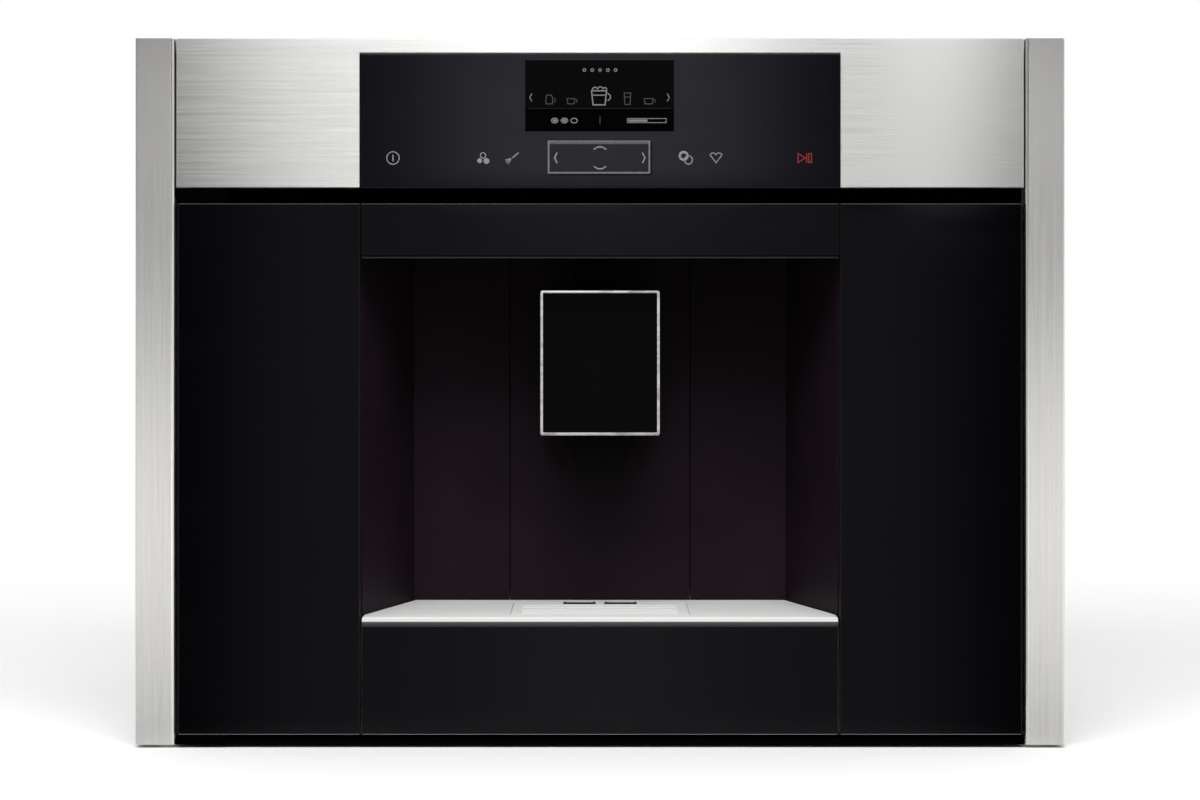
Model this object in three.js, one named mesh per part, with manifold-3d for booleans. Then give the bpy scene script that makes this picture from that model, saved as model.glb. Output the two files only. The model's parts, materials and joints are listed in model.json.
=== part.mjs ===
// A built-in coffee machine of the 45 cm kind: steel trims and fascia, a black glass door shaped like an
// inverted U around the cup niche, a height-adjustable outlet, a drip tray drawer, and the works behind them.
// Millimetres, +Z up. The front faces -Y. The origin is on the floor under the middle of the machine.
import * as THREE from "three";
import { mergeVertices } from "three/addons/utils/BufferGeometryUtils.js";
import Module from "manifold-3d";

const wasm = await Module();
wasm.setup();

// ---------------------------------------------------------------- driving dimensions
const housingWidth = 558;
const housingTop = 449;
const overallDepth = 377;
const sideOverlap = 19; // how far the front reaches past the housing on each side
const topOverlap = 6;
const rearClear = 2.5; // rear panel ahead of the gland's outer end
const frontBottom = 2; // the front hangs this far above the floor of the cabinet
const frontThickness = 21; // how far the front stands before the cabinet

const sheet = 1.2; // folded steel
const seat = 0.3; // gap between pieces that rest on each other
const runGap = 0.8; // gap between pieces that slide past each other
const bite = 0.1; // overlap that fuses two shapes of one piece
const past = 1; // how far a cutting shape runs past what it cuts

const trimWidth = 25.6;
const trimLip = 14; // hem that rests on the cabinet's front edge
const trimRadius = 1.2;
const trimRoll = 3; // radius of the trims' inner front edge
const fasciaHeight = 96;
const fasciaGap = 10; // open joint between fascia and door
const sideJoint = 0.8; // joint between fascia and trims

const glassThickness = 3.7;
const glassBevel = 0.5;
const controlGlassWidth = 307.6;
const controlGlassHeight = 86;
const controlGlassSet = 0.3; // glass behind the fascia's face
const displayWidth = 96;
const displayHeight = 46;
const displayRise = 14; // display centre above the control glass centre
const boardThickness = 1.6;

const doorGap = 1.8; // door to trims
const doorBottom = 8.5;
const doorFront = 0.3; // door glass behind the trims' faces
const doorThickness = 18.7; // glass and frame
const doorWall = 2.5;
const doorRib = 4.5;
const barHeight = 35;
const hingeInset = 5; // pivot from the door's left edge
const hingeDepth = 4; // pivot behind the door's face
const hingePinRadius = 2;
const hingePlate = 1.7;
const hingePlateReach = 26;

const nicheWidth = 307.8; // between the door's legs
const nicheBackWidth = 254;
const nicheDepth = 135; // from the front plane to the back wall
const nicheWall = 2;
const ceilingRise = 8; // ceiling above the door's top edge
const backPanelSeam = 61.3; // half width of the middle back panel
const backPanelJoint = 0.6;

const trayGap = 1.1; // drip tray front to the door's legs
const trayGlassTop = 78.6;
const trayPlateTop = 83.4;
const trayPlateEdge = 4.9;
const traySkin = 1.2;
const trayLipRadius = 3.6;
const trayReach = 105; // how far the drip tray runs on behind the niche
const trayWall = 2.2;
const trayFloor = 9;
const bayFloor = 3.8;

const grateWidth = 116;
const grateDepth = 88;
const grateFront = 24; // grate's front edge behind the front plane
const grateThickness = 2;
const grateLedge = 2.5;
const grateSlots = 5;
const grateSlotWidth = 5;
const gripWidth = 22;
const gripSpacing = 27.6;

const outletWidth = 78.4;
const outletHeight = 95;
const outletFront = 37; // outlet's face behind the front plane
const outletRearGap = 10; // cover's rear edge before the back wall
const outletUp = 60; // travel from rest, under the ceiling
const outletDown = 20;
const coverWall = 2;
const coverRing = 2;
const ringDepth = 2.7;
const neckWidth = 34;
const railAboveCeiling = 73;
const nozzleDrop = 30; // nozzle body's underside below the cover's lower edge

const tankWidth = 102;
const tankHeight = 142;
const tankLength = 190;
const tankBottom = 22;
const tankWall = 2.5;
const tankRadius = 10;
const bayInset = 4.5; // bay wall outside the tank
const valveRadius = 8;
const valveDrop = 7;
const cupWall = 3;
const handleRise = 46;
const handleRadius = 3;
const lidThickness = 3;
const earHeight = 9;

const beanWidth = 100;
const beanHeight = 80;
const beanHeadroom = 5; // container's rim below the door's top edge
const throatLift = 6; // container above the grinder's housing
const beanFloor = 12; // container's inner floor above its rim
const throatRadius = 19;
const throatWall = 3;
const grinderX = -213;
const beanPastGrinder = 29.8; // container's rear end behind the grinder's axis
const grinderRadius = 38;
const grinderHeight = 46;
const motorRadius = 26;
const motorHeight = 74;
const burrRadius = 24;
const knobRadius = 13;
const knobRise = 2; // knob's axis above the grinder's underside
const knobShaftRadius = 3;

const brewWidth = 92;
const brewHeight = 102;
const brewClearance = 13; // brewer below the grinder's underside
const brewRearWall = 5.8; // plastic behind the brewing chamber
const motorGap = 19.2; // grinder motor behind the brewer
const brewInset = 6; // brewer's front behind the front frame
const chamberRadius = 24;
const pistonRadius = 22.5;

// ---------------------------------------------------------------- planes worked out from them
const frontWidth = housingWidth + 2 * sideOverlap;
const frontTop = housingTop + topOverlap;
const frontY = -overallDepth / 2;
const backY = overallDepth / 2;
const shellBackY = backY - rearClear;
const flangeY = frontY + frontThickness;
const innerY = flangeY + seat; // front of everything that is inside the cabinet
const trimInner = frontWidth / 2 - trimWidth;
const housingHalf = housingWidth / 2;
const insideHalf = housingHalf - sheet - seat;
const fasciaBottom = frontTop - fasciaHeight;
const doorTop = fasciaBottom - fasciaGap;
const doorHalf = trimInner - doorGap;
const doorFaceY = frontY + doorFront;
const doorFrameY = doorFaceY + glassThickness + seat;
const doorBackY = doorFaceY + doorThickness;
const barBottom = doorTop - barHeight;
const nicheHalf = nicheWidth / 2;
const nicheBackHalf = nicheBackWidth / 2;
const nicheBackY = frontY + nicheDepth;
const nicheCeiling = doorTop + ceilingRise;
const trayHalf = nicheHalf - trayGap;
const trayPlateBottom = trayPlateTop - trayPlateEdge;
const wallBottom = trayPlateBottom + seat;
const frameInner = nicheHalf + nicheWall + seat; // inner edge of the front frames beside the niche
const pivotX = -doorHalf + hingeInset;
const pivotY = doorFaceY + hingeDepth;

// ---------------------------------------------------------------- solids
function solidFrom(geometry) {
  geometry.deleteAttribute("normal");
  geometry.deleteAttribute("uv");
  const merged = mergeVertices(geometry, 1e-4);
  return new wasm.Manifold(
    new wasm.Mesh({
      numProp: 3,
      vertProperties: merged.getAttribute("position").array,
      triVerts: new Uint32Array(merged.index.array),
    }),
  );
}

function geometryFrom(solid) {
  const mesh = solid.getMesh();
  const geometry = new THREE.BufferGeometry();
  geometry.setAttribute("position", new THREE.BufferAttribute(mesh.vertProperties, 3));
  geometry.setIndex(new THREE.BufferAttribute(mesh.triVerts, 1));
  geometry.computeVertexNormals();
  return geometry;
}

const join = (first, ...others) => others.reduce((sum, other) => sum.add(other), first);
const cut = (first, ...others) => others.reduce((rest, other) => rest.subtract(other), first);

function block([x0, x1], [y0, y1], [z0, z1]) {
  const geometry = new THREE.BoxGeometry(x1 - x0, y1 - y0, z1 - z0);
  geometry.translate((x0 + x1) / 2, (y0 + y1) / 2, (z0 + z1) / 2);
  return solidFrom(geometry);
}

// The three ways a flat outline is drawn: its own x and y as the first two letters, pushed along the third.
const drawn = {
  xyz: new THREE.Matrix4(),
  yzx: new THREE.Matrix4().set(0, 0, 1, 0, 1, 0, 0, 0, 0, 1, 0, 0, 0, 0, 0, 1),
  xzy: new THREE.Matrix4().set(1, 0, 0, 0, 0, 0, -1, 0, 0, 1, 0, 0, 0, 0, 0, 1),
};

function push(outline, way, from, to, bevel = 0, curveSegments = 6) {
  const depth = to - from - 2 * bevel;
  const geometry = new THREE.ExtrudeGeometry(outline, {
    depth,
    curveSegments,
    bevelEnabled: bevel > 0,
    bevelThickness: bevel,
    bevelSize: bevel,
    bevelOffset: -bevel,
    bevelSegments: 1,
  });
  // along Y the outline is pushed towards the front, so it starts at the far plane
  geometry.translate(0, 0, way === "xzy" ? -to + bevel : from + bevel);
  geometry.applyMatrix4(drawn[way]);
  return solidFrom(geometry);
}

const polygon = (points) => new THREE.Shape(points.map(([x, y]) => new THREE.Vector2(x, y)));

// A rectangle with one radius or four, which start at the low x and y corner and go round anticlockwise.
function rounded([x0, x1], [y0, y1], radii) {
  const each = Array.isArray(radii) ? radii : [radii, radii, radii, radii];
  const corners = [
    [x0, y0, 1, 1],
    [x1, y0, -1, 1],
    [x1, y1, -1, -1],
    [x0, y1, 1, -1],
  ];
  const shape = new THREE.Shape();
  corners.forEach(([x, y, inX, inY], i) => {
    const radius = each[i];
    const start = Math.PI * (1 + i / 2);
    if (radius > 0) {
      shape.absarc(x + inX * radius, y + inY * radius, radius, start, start + Math.PI / 2);
    } else {
      shape.lineTo(x, y);
    }
  });
  shape.closePath();
  return shape;
}

// A round bar along the named axis from one plane to another, centred at its other two coordinates.
function rod(axis, [a, b], radius, from, to, sides = 24, endRadius = radius) {
  const geometry = new THREE.CylinderGeometry(endRadius, radius, to - from, sides);
  geometry.translate(0, (from + to) / 2, 0);
  if (axis === "x") {
    geometry.rotateZ(-Math.PI / 2);
    geometry.translate(0, a, b);
  } else if (axis === "y") {
    geometry.translate(a, 0, b);
  } else {
    geometry.rotateX(Math.PI / 2);
    geometry.translate(a, b, 0);
  }
  return solidFrom(geometry);
}

// A box with walls all round except on the side named, such as "+z" or "-y".
function tub([x0, x1], [y0, y1], [z0, z1], wall, open) {
  const spans = { x: [x0, x1], y: [y0, y1], z: [z0, z1] };
  const inner = {};
  for (const axis of ["x", "y", "z"]) {
    const [low, high] = spans[axis];
    inner[axis] = [low + (open === "-" + axis ? -1 : wall), high + (open === "+" + axis ? 1 : -wall)];
  }
  return cut(block(spans.x, spans.y, spans.z), block(inner.x, inner.y, inner.z));
}

// Evenly spaced centres of count copies between two ends, each end half a pitch in.
function spread(from, to, count) {
  const pitch = (to - from) / count;
  return Array.from({ length: count }, (_, i) => from + pitch * (i + 0.5));
}

const machine = new THREE.Group();
const finishes = {
  steel: { color: 0xb9b6b0, roughness: 0.34, metalness: 1 },
  zinc: { color: 0x9a9c9e, roughness: 0.5, metalness: 1 },
  blackSheet: { color: 0x101012, roughness: 0.6, metalness: 0 },
  chrome: { color: 0xe8e8ea, roughness: 0.1, metalness: 1 },
  blackGlass: { color: 0x08080b, roughness: 0.06, metalness: 0 },
  niche: { color: 0x181317, roughness: 0.45, metalness: 0 },
  blackPlastic: { color: 0x121214, roughness: 0.5, metalness: 0 },
  greyPlastic: { color: 0x55585c, roughness: 0.6, metalness: 0 },
  smokyPlastic: { color: 0x3a4046, roughness: 0.15, metalness: 0 },
  board: { color: 0x1d4a2c, roughness: 0.6, metalness: 0 },
  alloy: { color: 0xa9abad, roughness: 0.45, metalness: 1 },
  rubber: { color: 0x1a1a1a, roughness: 0.9, metalness: 0 },
  red: { color: 0xa8261d, roughness: 0.5, metalness: 0 },
};

function add(name, finish, solid) {
  const mesh = new THREE.Mesh(geometryFrom(solid), new THREE.MeshStandardMaterial(finishes[finish]));
  mesh.name = name;
  machine.add(mesh);
}

const mirrored = ([a, b]) => [-b, -a];
const widened = ([a, b], by) => [a - by, b + by];
const about = (middle, half) => [middle - half, middle + half];

// ---------------------------------------------------------------- steel front
// Hollow trim, open at the back, with a hem along its outer edge that rests on the cabinet.
function trim() {
  const outer = frontWidth / 2;
  const face = rounded([trimInner, outer], [frontY, flangeY], [trimRoll, trimRadius, trimRadius, trimRadius]);
  const inside = rounded([trimInner + sheet, outer - sheet], [frontY + sheet, flangeY + past],
    [trimRoll - sheet, 0, 0, 0]);
  const hollow = push(inside, "xyz", frontBottom - past, frontTop + past);
  const hem = block(
    [outer - trimLip, outer - sheet / 2],
    [flangeY - sheet, flangeY],
    [frontBottom, frontTop],
  );
  return join(cut(push(face, "xyz", frontBottom, frontTop), hollow), hem);
}
const rightTrim = trim();
add("right_trim", "steel", rightTrim);
add("left_trim", "steel", rightTrim.mirror([1, 0, 0]));

const fasciaHalf = trimInner - sideJoint;
const glassHalf = controlGlassWidth / 2;
const glassTop = fasciaBottom + controlGlassHeight;
add(
  "fascia_panel",
  "steel",
  cut(
    tub([-fasciaHalf, fasciaHalf], [frontY, flangeY], [fasciaBottom, frontTop], sheet, "+y"),
    block(
      widened([-glassHalf, glassHalf], seat),
      widened([frontY, flangeY], past),
      [fasciaBottom - past, glassTop + seat],
    ),
  ),
);

function pane([x0, x1], [z0, z1], front) {
  return push(rounded([x0, x1], [z0, z1], 1), "xzy", front, front + glassThickness, glassBevel, 3);
}
const controlGlassY = frontY + controlGlassSet;
add("control_glass", "blackGlass", pane([-glassHalf, glassHalf], [fasciaBottom, glassTop], controlGlassY));

const glassMiddle = (fasciaBottom + glassTop) / 2;
const displayMiddle = glassMiddle + displayRise;
const carrierY = controlGlassY + glassThickness + seat;
const displayDepth = 7;
add(
  "display_module",
  "blackPlastic",
  block(
    [-displayWidth / 2, displayWidth / 2],
    [carrierY, carrierY + displayDepth],
    [displayMiddle - displayHeight / 2, displayMiddle + displayHeight / 2],
  ),
);

// The board behind the glass, with its two connectors and the stand-offs that reach the header.
const boardY = carrierY + displayDepth + seat;
const boardHalf = glassHalf - 12;
const boardMargin = 8;
const standOffs = [-boardHalf + 10, boardHalf - 10].map((x) =>
  rod("y", [x, glassMiddle], 4, boardY + boardThickness - bite, flangeY, 12),
);
const connectors = [-70, 70].map((x) =>
  block([x - 15, x + 15], [boardY + boardThickness - bite, boardY + boardThickness + 6],
    [fasciaBottom + 2 * boardMargin, fasciaBottom + 2 * boardMargin + 10]),
);
add(
  "control_board",
  "board",
  join(
    block([-boardHalf, boardHalf], [boardY, boardY + boardThickness],
      [fasciaBottom + boardMargin, glassTop - boardMargin]),
    ...standOffs,
    ...connectors,
  ),
);

// ---------------------------------------------------------------- housing
const headerBottom = doorTop + seat;
const headerFold = 12;
add(
  "front_header",
  "blackSheet",
  join(
    block([-insideHalf, insideHalf], [innerY, innerY + sheet], [headerBottom, housingTop - sheet - seat]),
    block([-insideHalf, insideHalf], [innerY, innerY + headerFold],
      [housingTop - 2 * sheet - seat, housingTop - sheet - seat]),
  ),
);

// A front frame beside the niche: a folded plate with one window for each thing that is pulled out.
const frameDepth = 10;
function frontFrame(windows) {
  const ys = [innerY, innerY + frameDepth];
  const plate = tub([frameInner, insideHalf], ys, [frontBottom, doorTop], sheet, "+y");
  const holes = windows.map(([xs, zs]) => block(xs, widened(ys, past), zs));
  return cut(plate, ...holes);
}

const bayMiddle = (frameInner + insideHalf) / 2;
const tankX = [bayMiddle - tankWidth / 2, bayMiddle + tankWidth / 2];
const tankTop = tankBottom + tankHeight;
const handleAxisZ = tankTop + seat + lidThickness + earHeight / 2;
const tankBayTop = handleAxisZ + handleRise + handleRadius + 6;
const switchZ = tankBayTop + 54;
const switchSize = [21, 12];
const windowGap = 3;
const switchWindow = [
  about(bayMiddle, switchSize[0] / 2 + runGap),
  about(switchZ, switchSize[1] / 2 + runGap),
];
const switchPinRadius = 1.5;
const switchY = innerY + sheet + 3.4;
const switchEars = [-1, 1].map((side) => {
  const near = switchZ + side * (switchSize[1] / 2 + runGap + 0.4);
  const far = near + side * 3;
  const zs = [Math.min(near, far), Math.max(near, far)];
  return cut(
    block(about(bayMiddle, 4), [innerY + sheet - bite, switchY + 4], zs),
    rod("z", [bayMiddle, switchY], switchPinRadius + seat, ...about(switchZ, switchSize[1]), 12),
  );
});
add(
  "front_frame_right",
  "greyPlastic",
  join(
    frontFrame([[widened(tankX, windowGap), [tankBottom - windowGap, tankBayTop]], switchWindow]),
    ...switchEars,
  ),
);

// Rocker of the main switch, resting with its right half pressed in; its pins turn in the frame's ears.
const rockerTilt = 7;
function rocker() {
  const halfX = switchSize[0] / 2;
  const outline = polygon([
    [-halfX, innerY - 2.2], [0, innerY - 0.8], [halfX, innerY - 2.2],
    [halfX, innerY + sheet + 1], [4, switchY + 3], [-4, switchY + 3], [-halfX, innerY + sheet + 1],
  ]);
  const body = push(outline, "xyz", switchZ - switchSize[1] / 2, switchZ + switchSize[1] / 2);
  const pins = rod("z", [0, switchY], switchPinRadius, ...about(switchZ, switchSize[1] / 2 + 4), 12);
  return join(body, pins)
    .translate([0, -switchY, 0])
    .rotate([0, 0, rockerTilt])
    .translate([bayMiddle, switchY, 0]);
}
add("main_switch", "blackPlastic", rocker());

const beanTop = doorTop - beanHeadroom;
const beanBottom = beanTop - beanHeight;
const grinderTop = beanBottom - throatLift;
const grinderBottom = grinderTop - grinderHeight;
const brewTop = grinderBottom - brewClearance;
const brewBottom = brewTop - brewHeight;
const knobHeight = grinderBottom + knobRise;
const beanX = [grinderX - beanWidth / 2, grinderX + beanWidth / 2];
const brewX = [grinderX - brewWidth / 2, grinderX + brewWidth / 2];
const knobWindow = [
  about(-grinderX, knobShaftRadius + runGap),
  about(knobHeight, knobShaftRadius + runGap),
];
add(
  "front_frame_left",
  "greyPlastic",
  frontFrame([
    [widened(mirrored(beanX), windowGap), [beanBottom - windowGap, doorTop - 4]],
    [widened(mirrored(brewX), windowGap), [brewBottom - windowGap, brewTop + windowGap]],
    knobWindow,
  ]).mirror([1, 0, 0]),
);

const sideWall = block([insideHalf + seat, housingHalf], [innerY, shellBackY - sheet - seat],
  [frontBottom, housingTop - sheet - seat]);
const fixingHoles = [0.25, 0.75].map((share) =>
  rod("x", [innerY + 20, share * housingTop], 2.6, insideHalf, housingHalf + 1, 12),
);
const louvreLength = 46;
const sideLouvres = spread(housingTop * 0.55, housingTop * 0.85, 6).map((z) =>
  block([insideHalf, housingHalf + 1], [shellBackY - 100, shellBackY - 100 + louvreLength], [z - 2, z + 2]),
);
const rightSide = cut(sideWall, ...fixingHoles, ...sideLouvres);
add("right_side_panel", "zinc", rightSide);

// Base pan with turned-up edges and four pressed feet that the machine stands on.
const panFold = trayFloor - seat;
const footRadius = 17;
const footInset = 42;
const feet = [-1, 1].flatMap((sx) =>
  [innerY + frameDepth + footInset, shellBackY - footInset].map((y) =>
    rod("z", [sx * (insideHalf - footInset), y], footRadius, 0, frontBottom + sheet / 2, 20, footRadius + 3),
  ),
);
const panFront = innerY + frameDepth + seat;
const panTop = frontBottom + sheet + seat; // underside of what stands in the pan
add(
  "base_pan",
  "zinc",
  join(
    tub([-insideHalf, insideHalf], [panFront, shellBackY - sheet - seat],
      [frontBottom, panFold], sheet, "+z"),
    ...feet,
  ),
);

const rearGrid = spread(-insideHalf + 40, insideHalf - 40, 5).flatMap((x) =>
  spread(housingTop * 0.62, housingTop * 0.9, 5).map((z) =>
    block([x - 34, x + 34], [shellBackY - 2 * sheet, shellBackY + 1], [z - 2.5, z + 2.5]),
  ),
);
const glandX = insideHalf - 50;
const glandZ = 60;
const glandRadius = 9;
add(
  "rear_panel",
  "zinc",
  cut(
    block([-housingHalf, housingHalf], [shellBackY - sheet, shellBackY],
      [frontBottom, housingTop - sheet - seat]),
    ...rearGrid,
    rod("y", [glandX, glandZ], glandRadius + seat, shellBackY - 2 * sheet, shellBackY + 1, 16),
  ),
);

const topGrid = spread(-housingHalf + 60, housingHalf - 60, 4).flatMap((x) =>
  spread(shellBackY - 150, shellBackY - 30, 6).map((y) =>
    block([x - 38, x + 38], [y - 2.5, y + 2.5], [housingTop - 2 * sheet, housingTop + 1]),
  ),
);
add(
  "top_cover",
  "zinc",
  cut(block([-housingHalf, housingHalf], [innerY, shellBackY], [housingTop - sheet, housingTop]), ...topGrid),
);

// Cord gland, pushed in from behind: a flange outside, a barrel, and a snap ring inside the panel.
const glandInnerY = shellBackY - sheet - seat;
const snapRing = 2.5;
add(
  "cord_gland",
  "blackPlastic",
  cut(
    join(
      rod("y", [glandX, glandZ], glandRadius, shellBackY - 14, backY - bite, 16),
      rod("y", [glandX, glandZ], glandRadius + 4, shellBackY + seat, backY, 16),
      rod("y", [glandX, glandZ], glandRadius, glandInnerY - snapRing, glandInnerY, 16, glandRadius + 1.5),
    ),
    rod("y", [glandX, glandZ], 4.2, shellBackY - 20, backY + past, 12),
  ),
);

// Black strip under the door.
const stripTop = doorBottom - 2 * seat - hingePlate;
const bracketRight = pivotX + hingePlateReach;
add(
  "plinth_strip",
  "blackPlastic",
  tub([bracketRight + seat, trimInner - seat], [frontY + 2, flangeY], [frontBottom, stripTop], sheet, "+y"),
);

// ---------------------------------------------------------------- door hinge
const boreRadius = hingePinRadius + seat;
function bracket(bottom, top) {
  return cut(
    block([-trimInner + seat, bracketRight], [frontY + 1, flangeY], [bottom, top]),
    rod("z", [pivotX, pivotY], boreRadius, bottom - 1, top + 1, 20),
  );
}
const upperPlateTop = doorTop + seat + hingePlate;
const lowerPlateBottom = doorBottom - seat - hingePlate;
add("hinge_bracket_top", "blackSheet", bracket(upperPlateTop + runGap, fasciaBottom - seat));
add("hinge_bracket_bottom", "blackSheet", bracket(frontBottom, lowerPlateBottom - runGap));

function hingeLeaf(bottom, top, pinFrom, pinTo) {
  const leaf = rounded(
    [pivotX - hingePinRadius - 1.5, pivotX + hingePlateReach - 2],
    [pivotY - hingePinRadius - 1, doorBackY - 1],
    2,
  );
  const pin = rod("z", [pivotX, pivotY], hingePinRadius, pinFrom, pinTo, 20);
  return join(push(leaf, "xyz", bottom, top, 0, 3), pin);
}
add(
  "door_hinge_top",
  "blackSheet",
  hingeLeaf(doorTop + seat, upperPlateTop, upperPlateTop - bite, fasciaBottom - seat - 1),
);
add(
  "door_hinge_bottom",
  "blackSheet",
  hingeLeaf(lowerPlateBottom, doorBottom - seat, frontBottom + 0.6, lowerPlateBottom + bite),
);

// ---------------------------------------------------------------- door
// The door's outline is an inverted U; inset moves every edge inwards by the same amount.
function doorOutline(inset) {
  const outer = doorHalf - inset;
  const inner = nicheHalf + trayGap + inset;
  const under = barBottom + 2.5 + inset;
  const low = doorBottom + inset;
  const high = doorTop - inset;
  return polygon([
    [-outer, low], [-inner, low], [-inner, under], [inner, under],
    [inner, low], [outer, low], [outer, high], [-outer, high],
  ]);
}
const legSpan = [nicheHalf + trayGap + 1, doorHalf - 1];
const skinY = doorFrameY + doorWall;
const legRibs = spread(doorBottom, doorTop, 6).slice(0, 5).flatMap((z) =>
  [legSpan, mirrored(legSpan)].map((xs) => block(xs, [skinY - bite, skinY + doorRib], [z - 1, z + 1])),
);
const barRibs = spread(-nicheHalf, nicheHalf, 7).map((x) =>
  block([x - 1, x + 1], [skinY - bite, skinY + doorRib], [barBottom + 4, doorTop - 1]),
);
add(
  "door_frame",
  "blackPlastic",
  join(
    cut(
      push(doorOutline(0), "xzy", doorFrameY, doorBackY),
      push(doorOutline(doorWall), "xzy", skinY, doorBackY + 1),
    ),
    ...legRibs,
    ...barRibs,
  ),
);
const legGlass = [nicheHalf, doorHalf];
add("door_glass_right", "blackGlass", pane(legGlass, [doorBottom, doorTop], doorFaceY));
add("door_glass_left", "blackGlass", pane(mirrored(legGlass), [doorBottom, doorTop], doorFaceY));

// The bar over the niche: a glass strip whose lower edge rolls back under the frame.
const barHalf = nicheHalf - 0.8;
const barLip = 2;
const barProfile = new THREE.Shape();
barProfile.moveTo(doorFaceY + glassThickness, doorTop);
barProfile.lineTo(doorFaceY + glassBevel, doorTop);
barProfile.lineTo(doorFaceY, doorTop - glassBevel);
barProfile.lineTo(doorFaceY, barBottom + barLip);
barProfile.absarc(doorFaceY + barLip, barBottom + barLip, barLip, Math.PI, 1.5 * Math.PI);
barProfile.lineTo(doorFaceY + glassThickness + 6, barBottom);
barProfile.lineTo(doorFaceY + glassThickness + 6, barBottom + barLip);
barProfile.lineTo(doorFaceY + glassThickness, barBottom + barLip);
add("door_bar", "blackGlass", push(barProfile, "yzx", -barHalf, barHalf, 0, 4));

// ---------------------------------------------------------------- cup niche
const nicheFrontY = innerY + sheet + seat;
const nicheRearY = nicheBackY - seat;
add(
  "niche_right_wall",
  "niche",
  push(
    polygon([
      [nicheHalf, nicheFrontY], [nicheHalf + nicheWall, nicheFrontY],
      [nicheBackHalf + nicheWall, nicheRearY], [nicheBackHalf, nicheRearY],
    ]),
    "xyz",
    wallBottom,
    nicheCeiling - seat,
  ),
);
add(
  "niche_left_wall",
  "niche",
  push(
    polygon([
      [-nicheHalf, nicheFrontY], [-nicheBackHalf, nicheRearY],
      [-nicheBackHalf - nicheWall, nicheRearY], [-nicheHalf - nicheWall, nicheFrontY],
    ]),
    "xyz",
    wallBottom,
    nicheCeiling - seat,
  ),
);
const ceilingFold = 8;
add(
  "niche_ceiling",
  "niche",
  join(
    block([-frameInner + seat, frameInner - seat], [innerY + sheet + seat, nicheRearY],
      [nicheCeiling, nicheCeiling + nicheWall]),
    block([-frameInner + seat, frameInner - seat], [innerY + sheet + seat, innerY + 2 * sheet + seat],
      [nicheCeiling, nicheCeiling + ceilingFold]),
  ),
);
const panelY = [nicheBackY, nicheBackY + nicheWall];
const sidePanel = [backPanelSeam + backPanelJoint, nicheBackHalf + nicheWall];
const sidePanelZ = [wallBottom, nicheCeiling + nicheWall];
const hemDepth = 5;
// Each outer back panel is folded back along its inner edge, which gives the seam its depth.
function backPanel() {
  return join(
    block(sidePanel, panelY, sidePanelZ),
    block([sidePanel[0], sidePanel[0] + nicheWall], [nicheBackY, nicheBackY + hemDepth], sidePanelZ),
  );
}
const rightPanel = backPanel();
add("niche_back_right", "niche", rightPanel);
add("niche_back_left", "niche", rightPanel.mirror([1, 0, 0]));

// Heights of the outlet at rest, hung below the ceiling by its travel.
const coverHeadroom = 3; // under the ceiling at full height
const outletTop = nicheCeiling - coverHeadroom - outletUp;
const outletBottom = outletTop - outletHeight;
const nozzleBottom = outletBottom - nozzleDrop;
const headFloor = outletBottom + 4;
const slotBottom = headFloor - outletDown - 3;
const slotTop = nicheCeiling + 53;
const railRise = nicheCeiling + railAboveCeiling;

// The middle panel carries the outlet: a slot for its neck and two guide ribs behind.
const neckHalf = neckWidth / 2;
const slotHalf = neckHalf + runGap;
const carriageHalf = 25;
const ribX = [carriageHalf + runGap, carriageHalf + runGap + 4];
const ribY = [nicheBackY + nicheWall - bite, nicheBackY + nicheWall + 9];
// Lips on its long edges reach behind the outer panels and close the seams.
const seamLipY = nicheBackY + hemDepth + seat;
const seamLipZ = [wallBottom + 12, nicheCeiling + nicheWall];
const seamLip = join(
  block([backPanelSeam - 3, backPanelSeam], [panelY[1] - bite, seamLipY + 1.5], seamLipZ),
  block([backPanelSeam - 3, backPanelSeam + 7], [seamLipY, seamLipY + 1.5], seamLipZ),
);
add(
  "outlet_guide_panel",
  "niche",
  cut(
    join(
      block([-backPanelSeam, backPanelSeam], panelY, [wallBottom, railRise]),
      seamLip,
      seamLip.mirror([1, 0, 0]),
      block(ribX, ribY, [slotBottom - 40, railRise]),
      block(mirrored(ribX), ribY, [slotBottom - 40, railRise]),
    ),
    block([-slotHalf, slotHalf], [nicheBackY - 1, nicheBackY + nicheWall + 1], [slotBottom, slotTop]),
  ),
);

// ---------------------------------------------------------------- outlet
const outletHalf = outletWidth / 2;
const outletFaceY = frontY + outletFront;
const coverFrontY = outletFaceY + ringDepth + seat;
const coverBackY = nicheBackY - outletRearGap;
const headX = [-outletHalf + coverWall + 4, outletHalf - coverWall - 4];
const headY = [coverFrontY + coverWall + 3, coverBackY];
const headZ = [headFloor, outletTop - coverWall - 4];
const apronY = [nicheBackY + nicheWall + runGap, nicheBackY + nicheWall + runGap + 4];
const snapRibs = [outletHalf * 0.5, -outletHalf * 0.5].map((x) =>
  block([x - 2, x + 2], headY, [headZ[1] - bite, outletTop - coverWall - seat]),
);
const sideRibs = [-1, 1].flatMap((side) =>
  spread(headZ[0], headZ[1], 3).map((z) =>
    side > 0
      ? block([headX[1] - bite, outletHalf - coverWall - seat], headY, [z - 2, z + 2])
      : block([-outletHalf + coverWall + seat, headX[0] + bite], headY, [z - 2, z + 2]),
  ),
);
add(
  "outlet_carriage",
  "blackPlastic",
  join(
    block(headX, headY, headZ),
    block([-neckHalf, neckHalf], [headY[1] - bite, apronY[1]], [headZ[0], headZ[1]]),
    block([-carriageHalf, carriageHalf], apronY, [slotBottom - 30, headZ[1] + 34]),
    ...snapRibs,
    ...sideRibs,
  ),
);
const coverSpan = [[-outletHalf, outletHalf], [coverFrontY, coverBackY], [outletBottom, outletTop]];
add(
  "outlet_cover",
  "blackPlastic",
  cut(
    block(...coverSpan),
    block([-outletHalf + coverWall, outletHalf - coverWall], [coverFrontY + coverWall, coverBackY + 1],
      [outletBottom - 1, outletTop - coverWall]),
  ),
);
const ringRadius = 1.5;
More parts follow.
